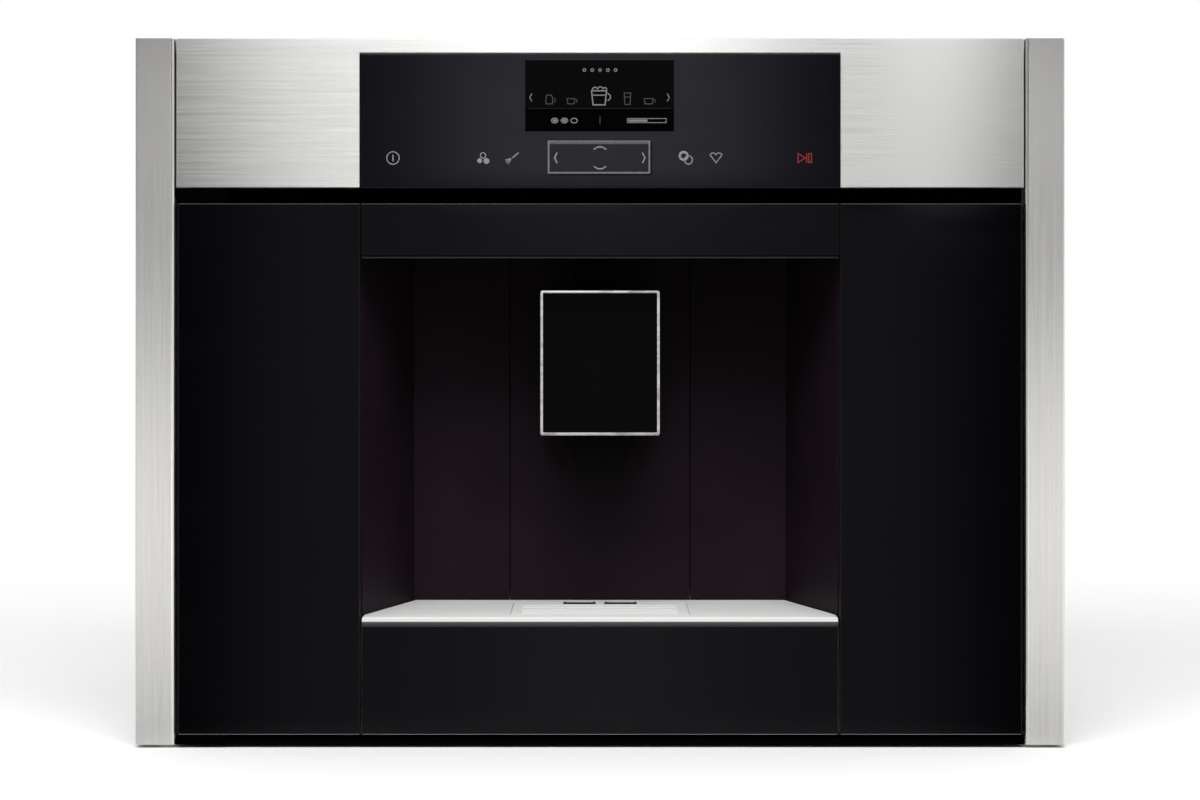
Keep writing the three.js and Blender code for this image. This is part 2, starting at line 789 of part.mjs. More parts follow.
const ringHole = rounded([-outletHalf + coverRing, outletHalf - coverRing],
  [outletBottom + coverRing, outletTop - coverRing], 0.8);
add(
  "outlet_ring",
  "chrome",
  cut(
    push(rounded([-outletHalf, outletHalf], [outletBottom, outletTop], ringRadius), "xzy",
      outletFaceY, outletFaceY + ringDepth, 0.4, 3),
    push(ringHole, "xzy", outletFaceY - 1, outletFaceY + ringDepth + 1, 0, 3),
  ),
);
add(
  "outlet_face",
  "blackGlass",
  push(
    rounded([-outletHalf + coverRing + seat, outletHalf - coverRing - seat],
      [outletBottom + coverRing + seat, outletTop - coverRing - seat], 0.6),
    "xzy", outletFaceY + 0.4, outletFaceY + ringDepth, 0, 3,
  ),
);

// Nozzle block under the head: a broad flange, curved shoulders and a U-shaped body. The flange is set
// back beside the middle of the front, and two round outlets stand in pockets of the underside.
const nozzleTop = headZ[0] - seat;
const nozzleMiddle = (headY[0] + headY[1]) / 2;
const nozzleHalfDepth = 20;
const flangeHalf = 23.3;
const flangeHeight = 12;
const flangeFoot = nozzleTop - flangeHeight;
const bodyHalf = 16.5;
const shoulder = 5;
const uRadius = 5;
const columnHalf = 8;
const columnLead = 1.6; // middle of the front before the flange
const nozzleShape = new THREE.Shape();
nozzleShape.moveTo(-flangeHalf, nozzleTop);
nozzleShape.lineTo(-flangeHalf, flangeFoot);
nozzleShape.absarc(-bodyHalf - shoulder, flangeFoot - shoulder, shoulder, Math.PI / 2, 0, true);
nozzleShape.lineTo(-bodyHalf, nozzleBottom + uRadius);
nozzleShape.absarc(-bodyHalf + uRadius, nozzleBottom + uRadius, uRadius, Math.PI, 1.5 * Math.PI);
nozzleShape.lineTo(bodyHalf - uRadius, nozzleBottom);
nozzleShape.absarc(bodyHalf - uRadius, nozzleBottom + uRadius, uRadius, -Math.PI / 2, 0);
nozzleShape.lineTo(bodyHalf, flangeFoot - shoulder);
nozzleShape.absarc(bodyHalf + shoulder, flangeFoot - shoulder, shoulder, Math.PI, Math.PI / 2, true);
nozzleShape.lineTo(flangeHalf, flangeFoot);
nozzleShape.lineTo(flangeHalf, nozzleTop);
const flangeSetBack = [[-flangeHalf - past, -columnHalf], [columnHalf, flangeHalf + past]].map((xs) =>
  block(xs, [nozzleMiddle - nozzleHalfDepth - past, nozzleMiddle - nozzleHalfDepth + columnLead],
    [flangeFoot, nozzleTop + past]),
);
const jetX = [-8, 8];
const jetRadius = 4.2;
const pocketDepth = 5;
const jetPockets = jetX.map((x) =>
  cut(
    rod("z", [x, nozzleMiddle], jetRadius + 2, nozzleBottom - past, nozzleBottom + pocketDepth, 20),
    rod("z", [x, nozzleMiddle], jetRadius, nozzleBottom + 1, nozzleBottom + pocketDepth + past, 16),
  ),
);
const jetBores = jetX.map((x) =>
  rod("z", [x, nozzleMiddle], 2.4, nozzleBottom - past, nozzleBottom + 10, 12),
);
add(
  "nozzle_block",
  "blackPlastic",
  cut(
    push(nozzleShape, "xzy", nozzleMiddle - nozzleHalfDepth, nozzleMiddle + nozzleHalfDepth, 0, 4),
    ...flangeSetBack,
    ...jetPockets,
    ...jetBores,
  ),
);

// ---------------------------------------------------------------- drip tray
const trayRearY = nicheBackY + trayReach;
const binHalf = trayHalf - 3;
const binTop = trayPlateBottom - seat;
const binFrontY = doorFrameY;
const bayWallX = nicheHalf + runGap;
const runnerZ = 26;
const runnerHeight = 3;
const bayTop = wallBottom + 5;
add(
  "tray_front_glass",
  "blackGlass",
  pane([-trayHalf, trayHalf], [doorBottom, trayGlassTop - seat], doorFaceY),
);

// The bin: a tub with side rails that ride on the bay's runners, and a partition before the grounds.
const partitionY = nicheBackY + 6;
const railBlocks = [-1, 1].map((side) =>
  block(
    side > 0 ? [binHalf - bite, bayWallX - 1 - seat] : [-bayWallX + 1 + seat, -binHalf + bite],
    [doorBackY + 4, trayRearY],
    [runnerZ + runnerHeight + seat, runnerZ + runnerHeight + seat + 3],
  ),
);
const floatX = 34;
const slotSpan = [frontY + grateFront + 5, frontY + grateFront + grateDepth - 16];
const floatY = spread(slotSpan[0], slotSpan[1], grateSlots)[2]; // under the middle slot of the grate
const floatGuide = cut(
  rod("z", [floatX, floatY], 5.5, trayFloor + trayWall - bite, trayFloor + 22, 16),
  rod("z", [floatX, floatY], 3.2, trayFloor + trayWall + 1, trayFloor + 30, 12),
);
add(
  "drip_tray",
  "blackPlastic",
  join(
    tub([-binHalf, binHalf], [binFrontY, trayRearY], [trayFloor, binTop], trayWall, "+z"),
    block([-binHalf + 1, binHalf - 1], [partitionY, partitionY + trayWall], [trayFloor + 1, binTop - 22]),
    floatGuide,
    ...railBlocks,
  ),
);

// The bay: side walls with runners the full length, and a deck behind the niche that carries the works.
const deckFrontY = nicheBackY + hemDepth + seat;
const deckRearY = shellBackY - 26;
const bayX = [bayWallX, bayWallX + sheet];
const bayFrontY = panFront + sheet + seat;
const runnerX = [binHalf + seat + 0.2, bayWallX + bite];
const deckTop = bayTop + 1.5;
const chamberY = partitionY + trayWall + seat + 14; // brewer's chamber, over the grounds container
const chuteHalf = 16;
const chuteX = [-binHalf + 4, -binHalf + 34];
add(
  "tray_bay",
  "zinc",
  join(
    cut(
      block([-bayX[1], bayX[1]], [deckFrontY, deckRearY], [bayTop, deckTop]),
      block(widened(chuteX, 2.2), about(chamberY, chuteHalf + seat), widened([bayTop, deckTop], past)),
    ),
    ...[bayX, mirrored(bayX)].flatMap((xs) => [
      block(xs, [bayFrontY, deckFrontY + past], [bayFloor, wallBottom - seat]),
      block(xs, [deckFrontY, deckRearY], [bayFloor, bayTop + bite]),
    ]),
    ...[runnerX, mirrored(runnerX)].map((xs) =>
      block(xs, [bayFrontY, trayRearY + 10], [runnerZ, runnerZ + runnerHeight]),
    ),
  ),
);

// Drip plate: a pressed skin with turned-down edges that follows the niche walls, and a window for the grate.
const plateFrontY = doorFaceY;
const plateRearY = nicheBackY - runGap;
const plateFrontHalf = trayHalf;
const wallSlope = (nicheHalf - nicheBackHalf) / (nicheRearY - nicheFrontY);
const plateHalfAt = (y) => Math.min(plateFrontHalf, nicheHalf - wallSlope * (y - nicheFrontY) - 1.2);
function plateOutline(inset) {
  const bend = nicheFrontY;
  return polygon([
    [-plateFrontHalf + inset, plateFrontY + inset], [plateFrontHalf - inset, plateFrontY + inset],
    [plateHalfAt(bend) - inset, bend], [plateHalfAt(plateRearY) - inset, plateRearY - inset],
    [-plateHalfAt(plateRearY) + inset, plateRearY - inset], [-plateHalfAt(bend) + inset, bend],
  ]);
}
// the front edge of the plate is rolled over by trimming a square block with a round bar
const lipY = plateFrontY + trayLipRadius;
const lipZ = trayPlateTop - trayLipRadius;
const acrossNiche = [-nicheWidth, nicheWidth];
const lipCut = cut(
  block(acrossNiche, [plateFrontY - past, lipY], [lipZ, trayPlateTop + past]),
  rod("x", [lipY, lipZ], trayLipRadius, ...widened(acrossNiche, past), 32),
);
const grateY = [frontY + grateFront, frontY + grateFront + grateDepth];
const grateHalf = grateWidth / 2;
const grateBottom = trayPlateTop - grateThickness;
const ledgeTop = grateBottom - seat;
// a rectangular bar round the grate's outline, grown by a margin
const roundGrate = (margin, zs) => block(about(0, grateHalf + margin), widened(grateY, margin), zs);
const ledgeRing = cut(
  roundGrate(seat + traySkin, [trayPlateBottom, trayPlateTop - traySkin / 2]),
  roundGrate(seat, [ledgeTop, trayPlateTop + past]),
  roundGrate(-grateLedge, widened([trayPlateBottom, trayPlateTop], past)),
);
add(
  "drip_plate",
  "steel",
  join(
    cut(
      push(plateOutline(0), "xyz", trayPlateBottom, trayPlateTop),
      cut(
        push(plateOutline(traySkin), "xyz", trayPlateBottom - 1, trayPlateTop - traySkin),
        block(acrossNiche, [plateFrontY, lipY + traySkin], [lipZ, trayPlateTop]),
      ),
      lipCut,
      roundGrate(seat, widened([trayPlateBottom, trayPlateTop], past)),
    ),
    ledgeRing,
  ),
);

// Grate: long slots across, and two finger grips with turned-up ends at its rear.
const throughGrate = widened([grateBottom, trayPlateTop], past);
const slotRadius = grateSlotWidth / 2;
const grateSlotBlocks = spread(slotSpan[0], slotSpan[1], grateSlots).map((y) =>
  push(
    rounded(about(0, grateHalf - 6), about(y, slotRadius), slotRadius - 0.01),
    "xyz", ...throughGrate, 0, 3,
  ),
);
const gripY = grateY[1] - 9;
const grips = [-gripSpacing / 2, gripSpacing / 2].flatMap((x) => [
  block(about(x, gripWidth / 2), about(gripY, 1.3), throughGrate),
  ...[-1, 1].map((side) =>
    block(about(x + side * (gripWidth / 2 - 1), 1), [gripY, gripY + 5], throughGrate),
  ),
]);
add(
  "drip_grate",
  "steel",
  cut(block([-grateHalf, grateHalf], grateY, [grateBottom, trayPlateTop]), ...grateSlotBlocks, ...grips),
);

add(
  "tray_float",
  "red",
  join(
    rod("z", [floatX, floatY], 1.8, trayFloor + 22, grateBottom - 1, 12),
    rod("z", [floatX, floatY], 9, trayFloor + 23, trayFloor + 41, 16),
    rod("z", [floatX, floatY], 2.2, trayFloor + 12, trayFloor + 24, 12),
  ),
);

const groundsX = [-binHalf + trayWall + 1, binHalf * 0.3];
const groundsZ = [trayFloor + trayWall + seat, binTop - 1];
add(
  "grounds_container",
  "greyPlastic",
  tub(groundsX, [partitionY + trayWall + seat, trayRearY - trayWall - seat], groundsZ, 2, "+z"),
);

// Moulded lip on the front of what is pulled out of its bay, for the fingertips: a ledge turned down.
const gripHalf = 28;
const gripDrop = 10;
const gripReach = 4.2;
const gripWall = 2;
function gripLip(middle, top, faceY) {
  return join(
    block(about(middle, gripHalf), [faceY - gripReach, faceY + bite], [top - gripWall, top]),
    block(about(middle, gripHalf), [faceY - gripReach, faceY - gripReach + gripWall], [top - gripDrop, top]),
  );
}

// ---------------------------------------------------------------- water tank
const tankFrontY = innerY + 3;
const tankY = [tankFrontY, tankFrontY + tankLength];
function tankShell() {
  const outer = push(rounded(tankX, tankY, tankRadius), "xyz", tankBottom, tankTop, 0, 4);
  const inner = push(
    rounded(widened(tankX, -tankWall), widened(tankY, -tankWall), tankRadius - tankWall),
    "xyz", tankBottom + tankWall, tankTop + 1, 0, 4,
  );
  return cut(outer, inner);
}
const valveY = tankY[1] - 24;
add(
  "water_tank",
  "smokyPlastic",
  cut(
    join(
      tankShell(),
      gripLip(bayMiddle, tankTop - 28, tankY[0]),
      rod("z", [bayMiddle, valveY], valveRadius, tankBottom - valveDrop, tankBottom + bite, 20),
    ),
    rod("z", [bayMiddle, valveY], valveRadius - 2, tankBottom - valveDrop - 1, tankBottom + tankWall + 1, 20),
  ),
);

const lidZ = [tankTop + seat, tankTop + seat + lidThickness];
const earX = [tankX[0] + 12, tankX[1] - 12];
const handlePivot = [tankY[0] + 60, handleAxisZ];
const ears = earX.map((x) =>
  cut(
    block([x - 2, x + 2], [handlePivot[0] - 5, handlePivot[0] + 5], [lidZ[1] - bite, lidZ[1] + earHeight]),
    rod("x", handlePivot, 1.8, x - 3, x + 3, 12),
  ),
);
add(
  "tank_lid",
  "blackPlastic",
  join(
    push(rounded(tankX, tankY, tankRadius), "xyz", lidZ[0], lidZ[1], 0, 4),
    push(rounded(widened(tankX, -tankWall - 0.5), widened(tankY, -tankWall - 0.5), tankRadius - tankWall),
      "xyz", lidZ[0] - 5, lidZ[0] + bite, 0, 4),
    ...ears,
  ),
);

// Bail handle, lying back on the lid; its stub pins turn in the lid's ears.
const bailX = [earX[0] - 2 - runGap - handleRadius, earX[1] + 2 + runGap + handleRadius];
function bail() {
  const reach = handlePivot[0] + handleRise;
  const path = new THREE.CurvePath();
  const corner = 9;
  const at = (x, y) => new THREE.Vector3(x, y, handlePivot[1]);
  const [left, right] = bailX;
  const turn = (from, by, to) => path.add(new THREE.QuadraticBezierCurve3(from, by, to));
  path.add(new THREE.LineCurve3(at(left, handlePivot[0]), at(left, reach - corner)));
  turn(at(left, reach - corner), at(left, reach), at(left + corner, reach));
  path.add(new THREE.LineCurve3(at(left + corner, reach), at(right - corner, reach)));
  turn(at(right - corner, reach), at(right, reach), at(right, reach - corner));
  path.add(new THREE.LineCurve3(at(right, reach - corner), at(right, handlePivot[0])));
  const ring = new THREE.Shape();
  ring.absarc(0, 0, handleRadius, 0, 2 * Math.PI);
  return solidFrom(
    new THREE.ExtrudeGeometry(ring, { steps: 28, extrudePath: path, curveSegments: 4, bevelEnabled: false }),
  );
}
const stubs = earX.map((x, i) =>
  i === 0
    ? rod("x", handlePivot, 1.5, bailX[0], x + 1.6, 12)
    : rod("x", handlePivot, 1.5, x - 1.6, bailX[1], 12),
);
add("tank_handle", "blackPlastic", join(bail(), ...stubs));

// Bay that guides the tank, with the coupling the tank's valve drops onto.
const bayZ = [tankBottom - seat - 2, tankBayTop];
const cupRadius = valveRadius + runGap + cupWall;
const hoseRadius = 4;
const hoseStartY = valveY + cupRadius + 8;
const hoseZ = tankBottom - seat - 2 - 8;
add(
  "tank_bay",
  "blackPlastic",
  cut(
    join(
      tub(widened(tankX, bayInset), [innerY + sheet + seat, tankY[1] + 12], bayZ, 2, "-y"),
      rod("z", [bayMiddle, valveY], cupRadius, panTop, bayZ[0] + bite, 24),
      rod("y", [bayMiddle, hoseZ], hoseRadius, valveY, hoseStartY, 12),
    ),
    rod("z", [bayMiddle, valveY], valveRadius + runGap, tankBottom - valveDrop - runGap, tankBottom, 20),
  ),
);

// ---------------------------------------------------------------- beans, grinder, brewer
const brewY = [innerY + brewInset, chamberY + chamberRadius + brewRearWall];
const grinderY = brewY[1] + motorGap + motorRadius;
const beanY = [innerY + 3, grinderY + beanPastGrinder];
const beanOuter = push(rounded(beanX, beanY, 6), "xyz", beanBottom, beanTop, 0, 3);
const beanWall = 2.2;
const beanInner = push(
  rounded(widened(beanX, -beanWall), widened(beanY, -beanWall), 4),
  "xyz", beanBottom + beanFloor, beanTop + past, 0, 3,
);
// Under its floor the container is hollow, round the throat that stands on the grinder's collar.
const beanUnder = cut(
  push(rounded(widened(beanX, -beanWall), widened(beanY, -beanWall), 4),
    "xyz", beanBottom - past, beanBottom + beanFloor - beanWall, 0, 3),
  rod("z", [grinderX, grinderY], throatRadius + throatWall, beanBottom - 2 * past,
    beanBottom + beanFloor, 24),
);
add(
  "bean_container",
  "smokyPlastic",
  cut(
    join(beanOuter, gripLip(grinderX, beanTop - 40, beanY[0])),
    beanInner,
    beanUnder,
    rod("z", [grinderX, grinderY], throatRadius, beanBottom - past, beanBottom + beanFloor + past, 24,
      throatRadius + 2),
  ),
);

// Grinder: a round housing with the bean throat on top, a spout at the front and the fixed ring inside.
const grinderZ = [grinderBottom, grinderTop];
const shaftHalf = 10; // ground coffee's shaft, over the middle of the brewing chamber
const spoutWall = 3;
const spoutY = chamberY - shaftHalf - spoutWall;
const shelfZ = [grinderZ[0] - motorHeight - 3, grinderZ[0] - motorHeight];
const cavity = rod("z", [grinderX, grinderY], burrRadius + 5, grinderZ[0] + 6, grinderZ[1] - 8, 32);
add(
  "grinder_housing",
  "blackPlastic",
  cut(
    join(
      rod("z", [grinderX, grinderY], grinderRadius, grinderZ[0], grinderZ[1], 40),
      rod("z", [grinderX, grinderY], throatRadius + throatWall, grinderZ[1] - bite, beanBottom - seat, 24),
      block(
        about(grinderX, shaftHalf + spoutWall),
        [spoutY, grinderY - grinderRadius + 8],
        [brewTop + seat, grinderZ[0] + 24],
      ),
    ),
    cavity,
    rod("z", [grinderX, grinderY], throatRadius, grinderZ[1] - 9, beanBottom + 1, 24),
    rod("z", [grinderX, grinderY], 5, grinderZ[0] - 1, grinderZ[0] + 7, 16),
    block(
      about(grinderX, shaftHalf),
      [spoutY + spoutWall, grinderY - burrRadius],
      [grinderZ[0] + 8, grinderZ[0] + 20],
    ),
    block(about(grinderX, shaftHalf), about(chamberY, shaftHalf), [brewTop - past, grinderZ[0] + 20]),
  ),
);

// Cone burr with its teeth: a toothed star drawn out to a smaller one at the top.
const burrTeeth = 9;
const burrZ = [grinderZ[0] + 8, grinderZ[1] - 12];
function burr() {
  const star = [];
  for (let i = 0; i < burrTeeth * 2; i++) {
    const angle = (i * Math.PI) / burrTeeth;
    const radius = i % 2 ? burrRadius * 0.84 : burrRadius;
    star.push([radius * Math.cos(angle), radius * Math.sin(angle)]);
  }
  const height = burrZ[1] - burrZ[0];
  const cone = push(polygon(star), "xyz", 0, height);
  const tapered = cone.warp((v) => {
    const shrink = 1 - (0.55 * v[2]) / height;
    const turn = (0.5 * v[2]) / height;
    const [x, y] = v;
    v[0] = shrink * (x * Math.cos(turn) - y * Math.sin(turn));
    v[1] = shrink * (x * Math.sin(turn) + y * Math.cos(turn));
  });
  return tapered.translate([grinderX, grinderY, burrZ[0]]);
}
add(
  "grinder_burr",
  "steel",
  join(burr(), rod("z", [grinderX, grinderY], 3.4, grinderZ[0] - 8, burrZ[0] + bite, 16)),
);
add(
  "grinder_motor",
  "alloy",
  cut(
    join(
      rod("z", [grinderX, grinderY], motorRadius, grinderZ[0] - motorHeight, grinderZ[0] - seat, 32),
      rod("z", [grinderX, grinderY], 6, shelfZ[0], grinderZ[0] - motorHeight + bite, 16),
    ),
    rod("z", [grinderX, grinderY], 4.2, grinderZ[0] - 14, grinderZ[0] + 1, 16),
  ),
);

// Knob for the grind setting, reached when the door is open, with its long shaft to the grinder.
const knobFrontY = innerY - 6.5;
const knobRibs = 14;
const knobScallops = Array.from({ length: knobRibs }, (_, i) => {
  const angle = (2 * Math.PI * i) / knobRibs;
  const reach = knobRadius + 0.8;
  const at = [grinderX + reach * Math.cos(angle), knobHeight + reach * Math.sin(angle)];
  return rod("y", at, 1.6, knobFrontY - past, innerY, 8);
});
add(
  "grind_knob",
  "blackPlastic",
  join(
    cut(rod("y", [grinderX, knobHeight], knobRadius, knobFrontY, innerY - seat, 42), ...knobScallops),
    rod("y", [grinderX, knobHeight], knobShaftRadius, innerY - seat - bite, spoutY - seat, 12),
  ),
);

// Brew unit: a frame with an open chamber that the piston works in, a finger pocket and a locking recess.
const chamberX = grinderX;
const chamberFloor = brewBottom + 22;
const pistonZ = chamberFloor + 2;
const pistonHead = 12;
const pistonTop = pistonZ + pistonHead;
const puckWindowZ = [pistonTop, pistonTop + 27]; // a spent puck is swept out here, over the lowered piston
const guideHalf = brewWidth / 2 - 10;
const brewGuides = [brewX[0] + 4, brewX[1] - 4].map((x) =>
  block([x - 1.5, x + 1.5], [brewY[0] + 20, brewY[1] - 10], [brewTop - bite, brewTop + 3]),
);
add(
  "brew_unit",
  "greyPlastic",
  cut(
    join(push(rounded(brewX, brewY, 8), "xyz", brewBottom, brewTop, 0, 3), ...brewGuides),
    rod("z", [chamberX, chamberY], chamberRadius, chamberFloor, brewTop + 1, 32),
    rod("z", [chamberX, chamberY], 6, brewBottom - 1, chamberFloor + 1, 16),
    block(about(chamberX, guideHalf), [brewY[0] - past, brewY[0] + 18], [brewTop - 58, brewTop - 18]),
    block(about(chamberX, guideHalf), [brewY[0] - past, brewY[0] + 12], [brewBottom + 8, brewBottom + 30]),
    block([chamberX + chamberRadius - 4, brewX[1] + past], about(chamberY, chuteHalf), puckWindowZ),
  ),
);
add(
  "brew_piston",
  "alloy",
  cut(
    join(
      rod("z", [chamberX, chamberY], pistonRadius, pistonZ, pistonTop, 32),
      rod("z", [chamberX, chamberY], 5, brewBottom + 2, pistonZ + bite, 16),
    ),
    rod("z", [chamberX, chamberY], pistonRadius - 4, pistonTop - 1.5, pistonTop + past, 32),
  ),
);

// Chute from the brewer's side window down through the deck, over the grounds container.
const chuteSheet = 1.5;
const chuteFoot = wallBottom + 0.4;
const chuteStartX = brewX[1] + seat;
function chuteProfile(inset, overrun) {
  return polygon([
    [chuteStartX - overrun, puckWindowZ[1] - inset],
    [chuteStartX - overrun, puckWindowZ[0] - chuteSheet + inset],
    [chuteX[0] - 3 + inset, deckTop + 9 + inset],
    [chuteX[0] + inset, chuteFoot - overrun],
    [chuteX[1] - inset, chuteFoot - overrun],
    [chuteX[1] - inset, deckTop + 14 - inset],
    [chuteX[0] - inset, puckWindowZ[1] - inset],
  ]);
}
add(
  "puck_chute",
  "greyPlastic",
  cut(
    push(chuteProfile(0, 0), "xzy", ...about(chamberY, chuteHalf)),
    push(chuteProfile(chuteSheet, 2), "xzy", ...about(chamberY, chuteHalf - chuteSheet)),
  ),
);

// The left side panel carries the brewer's cradle: a shelf and a leg down to the pan, clear of the chute.
const cradleLip = 10;
const cradleY = [bayFrontY, brewY[1] + 6];
const cradleTop = brewBottom - seat;
const cradle = cut(
  join(
    block([-housingHalf + sheet / 2, brewX[1] + cradleLip], cradleY, [cradleTop - sheet, cradleTop]),
    block([brewX[1] + cradleLip - sheet, brewX[1] + cradleLip], cradleY, [panTop, cradleTop]),
  ),
  block(about(chamberX, 26), about(chamberY, 15), [cradleTop - 2 * sheet, brewBottom]),
  push(chuteProfile(-runGap, 0), "xzy", ...about(chamberY, chuteHalf + runGap)),
);
add("left_side_panel", "zinc", join(rightSide.mirror([1, 0, 0]), cradle));

// ---------------------------------------------------------------- works on the deck
const worksZ = deckTop + seat;
// Vibratory pump: a round body through a square coil pack, spigots at both ends, on a foot.
const pumpX = 96;
const pumpY = deckRearY - 50.5;
const pumpRadius = 15;
const pumpZ = worksZ + 30;
const coilHalf = 22;
const pumpHalf = 46;
const spigotRadius = 4;
add(
  "water_pump",
  "alloy",
  join(
    rod("x", [pumpY, pumpZ], pumpRadius, pumpX - pumpHalf, pumpX + pumpHalf, 28),
    push(rounded([pumpY - coilHalf, pumpY + coilHalf], [pumpZ - coilHalf, pumpZ + coilHalf], 4), "yzx",
      pumpX - coilHalf, pumpX + coilHalf, 0, 3),
    rod("x", [pumpY, pumpZ], spigotRadius, pumpX - pumpHalf - 14, pumpX + pumpHalf + 14, 12),
    block([pumpX - 16, pumpX + 16], [pumpY - 14, pumpY + 14], [worksZ, pumpZ - coilHalf + bite]),
    block([pumpX - 34, pumpX + 34], [pumpY - 20, pumpY + 20], [worksZ, worksZ + 3]),
  ),
);

// Water hose from the tank's cup, back and up to the pump.
const pumpInletX = pumpX + pumpHalf + 14 + seat;
function hoseGeometry() {
  const bend = 26;
  const riseX = bayMiddle;
  const path = new THREE.CurvePath();
  const start = new THREE.Vector3(riseX, hoseStartY + seat, hoseZ);
  const rear = new THREE.Vector3(riseX, pumpY, hoseZ);
  const top = new THREE.Vector3(riseX, pumpY, pumpZ);
  const end = new THREE.Vector3(pumpInletX, pumpY, pumpZ);
  const toward = (from, to, by) => from.clone().add(to.clone().sub(from).setLength(by));
  path.add(new THREE.LineCurve3(start, toward(rear, start, bend)));
  path.add(new THREE.QuadraticBezierCurve3(toward(rear, start, bend), rear, toward(rear, top, bend)));
  path.add(new THREE.LineCurve3(toward(rear, top, bend), toward(top, rear, bend)));
  path.add(new THREE.QuadraticBezierCurve3(toward(top, rear, bend), top, toward(top, end, bend)));
  path.add(new THREE.LineCurve3(toward(top, end, bend), end));
  const ring = new THREE.Shape();
  ring.absarc(0, 0, hoseRadius, 0, 2 * Math.PI);
  const options = { steps: 30, extrudePath: path, curveSegments: 5, bevelEnabled: false };
  return new THREE.ExtrudeGeometry(ring, options);
}
add("water_hose", "greyPlastic", solidFrom(hoseGeometry()));

// Flow meter: a flat round housing with two spigots.
const meterX = 30;
const meterY = deckRearY - 34.5;
const meterRadius = 17;
add(
  "flow_meter",
  "greyPlastic",
  join(
    rod("z", [meterX, meterY], meterRadius, worksZ, worksZ + 20, 28),
    rod("z", [meterX, meterY], meterRadius - 4, worksZ + 19.9, worksZ + 23, 28),
    rod("y", [meterX - 9, worksZ + 10], 3.5, meterY, meterY + meterRadius + 11, 12),
    rod("y", [meterX + 9, worksZ + 10], 3.5, meterY, meterY + meterRadius + 11, 12),
  ),
);

// Thermoblock: a finned casting on two feet, with its inlet and outlet on the top.
const blockX = [chuteX[1] + 5, chuteX[1] + 95];
const blockY = [deckRearY - 152.5, deckRearY - 40.5];
const blockRise = 14;
const blockHeight = 46;
const fins = spread(blockX[0] + 4, blockX[1] - 4, 9).map((x) =>
  block([x - 1.4, x + 1.4], [blockY[0] + 6, blockY[1] - 6],
    [worksZ + blockRise + blockHeight - bite, worksZ + blockRise + blockHeight + 12]),
);
add(
  "thermoblock",
  "alloy",
  join(
    push(rounded(blockX, blockY, 9), "xyz", worksZ + blockRise, worksZ + blockRise + blockHeight, 0, 4),
    ...fins,
    ...[blockY[0] + 14, blockY[1] - 14].map((y) =>
      block([blockX[0] + 8, blockX[1] - 8], [y - 4, y + 4], [worksZ, worksZ + blockRise + bite]),
    ),
    rod("y", [blockX[0] + 20, worksZ + blockRise + 23], 4, blockY[1] - 1, blockY[1] + 12, 12),
    rod("y", [blockX[1] - 20, worksZ + blockRise + 23], 4, blockY[1] - 1, blockY[1] + 12, 12),
  ),
);

// Power board on stand-offs from the right side panel, with its transformer, relays and heat sink.
const powerY = [shellBackY - 148.5, shellBackY - 23.5];
const powerZ = [housingTop - 187, housingTop - 47];
const powerX = insideHalf - 9;
const standOffGrid = powerY.flatMap((y, i) =>
  powerZ.map((z, j) => [y + (i ? -8 : 8), z + (j ? -8 : 8)]),
);
const boardFaceX = powerX - boardThickness;
const standing = (height) => [boardFaceX - height, boardFaceX + bite];
const relays = spread(powerY[0] + 14, powerY[1] - 14, 4).map((y) =>
  block(standing(15), about(y, 9), [powerZ[0] + 14, powerZ[0] + 34]),
);
const sinkFins = spread(powerY[0] + 16, powerY[1] - 16, 8).map((y) =>
  block(standing(28), about(y, 1.2), [powerZ[1] - 46, powerZ[1] - 12]),
);
add(
  "power_board",
  "board",
  join(
    block([boardFaceX, powerX], powerY, powerZ),
    ...standOffGrid.map((at) => rod("x", at, 3, powerX - bite, insideHalf, 12)),
    ...relays,
    block(standing(26), [powerY[0] + 20, powerY[0] + 60], [powerZ[0] + 44, powerZ[0] + 78]),
    block(standing(4), widened(powerY, -14), [powerZ[1] - 48, powerZ[1] - 10]),
    ...sinkFins,
  ),
);

export default machine;
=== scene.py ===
import json
import math

import bmesh
import bpy
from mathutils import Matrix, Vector
from mathutils.bvhtree import BVHTree


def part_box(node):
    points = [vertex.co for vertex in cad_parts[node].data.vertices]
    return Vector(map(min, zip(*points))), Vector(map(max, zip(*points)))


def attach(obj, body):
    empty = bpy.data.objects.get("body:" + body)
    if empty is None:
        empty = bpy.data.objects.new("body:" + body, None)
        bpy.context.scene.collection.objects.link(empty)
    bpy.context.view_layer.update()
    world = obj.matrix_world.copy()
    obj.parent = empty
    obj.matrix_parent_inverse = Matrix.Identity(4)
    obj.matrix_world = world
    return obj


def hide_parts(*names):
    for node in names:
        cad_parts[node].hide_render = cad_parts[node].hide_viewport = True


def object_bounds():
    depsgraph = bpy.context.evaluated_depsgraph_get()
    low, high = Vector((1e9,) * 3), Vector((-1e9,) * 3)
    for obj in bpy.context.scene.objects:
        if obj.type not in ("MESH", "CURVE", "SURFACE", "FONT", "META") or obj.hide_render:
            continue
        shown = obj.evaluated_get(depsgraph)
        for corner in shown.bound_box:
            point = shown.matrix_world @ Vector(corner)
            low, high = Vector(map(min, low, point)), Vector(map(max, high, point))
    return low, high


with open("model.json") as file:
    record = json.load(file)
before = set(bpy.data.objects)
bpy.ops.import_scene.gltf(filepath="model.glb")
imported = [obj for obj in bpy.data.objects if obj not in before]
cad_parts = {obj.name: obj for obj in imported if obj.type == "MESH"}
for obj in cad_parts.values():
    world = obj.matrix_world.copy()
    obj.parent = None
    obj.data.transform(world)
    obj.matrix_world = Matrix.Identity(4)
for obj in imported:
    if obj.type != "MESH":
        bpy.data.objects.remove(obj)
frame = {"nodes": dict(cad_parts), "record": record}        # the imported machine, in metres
cadNodes = frame["nodes"]
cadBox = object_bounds()
mm = 0.001
scene = bpy.context.scene
bodyOf = {node: body for body, nodes in frame["record"]["behaviour"]["bodies"].items() for node in nodes}


# small helpers for node trees

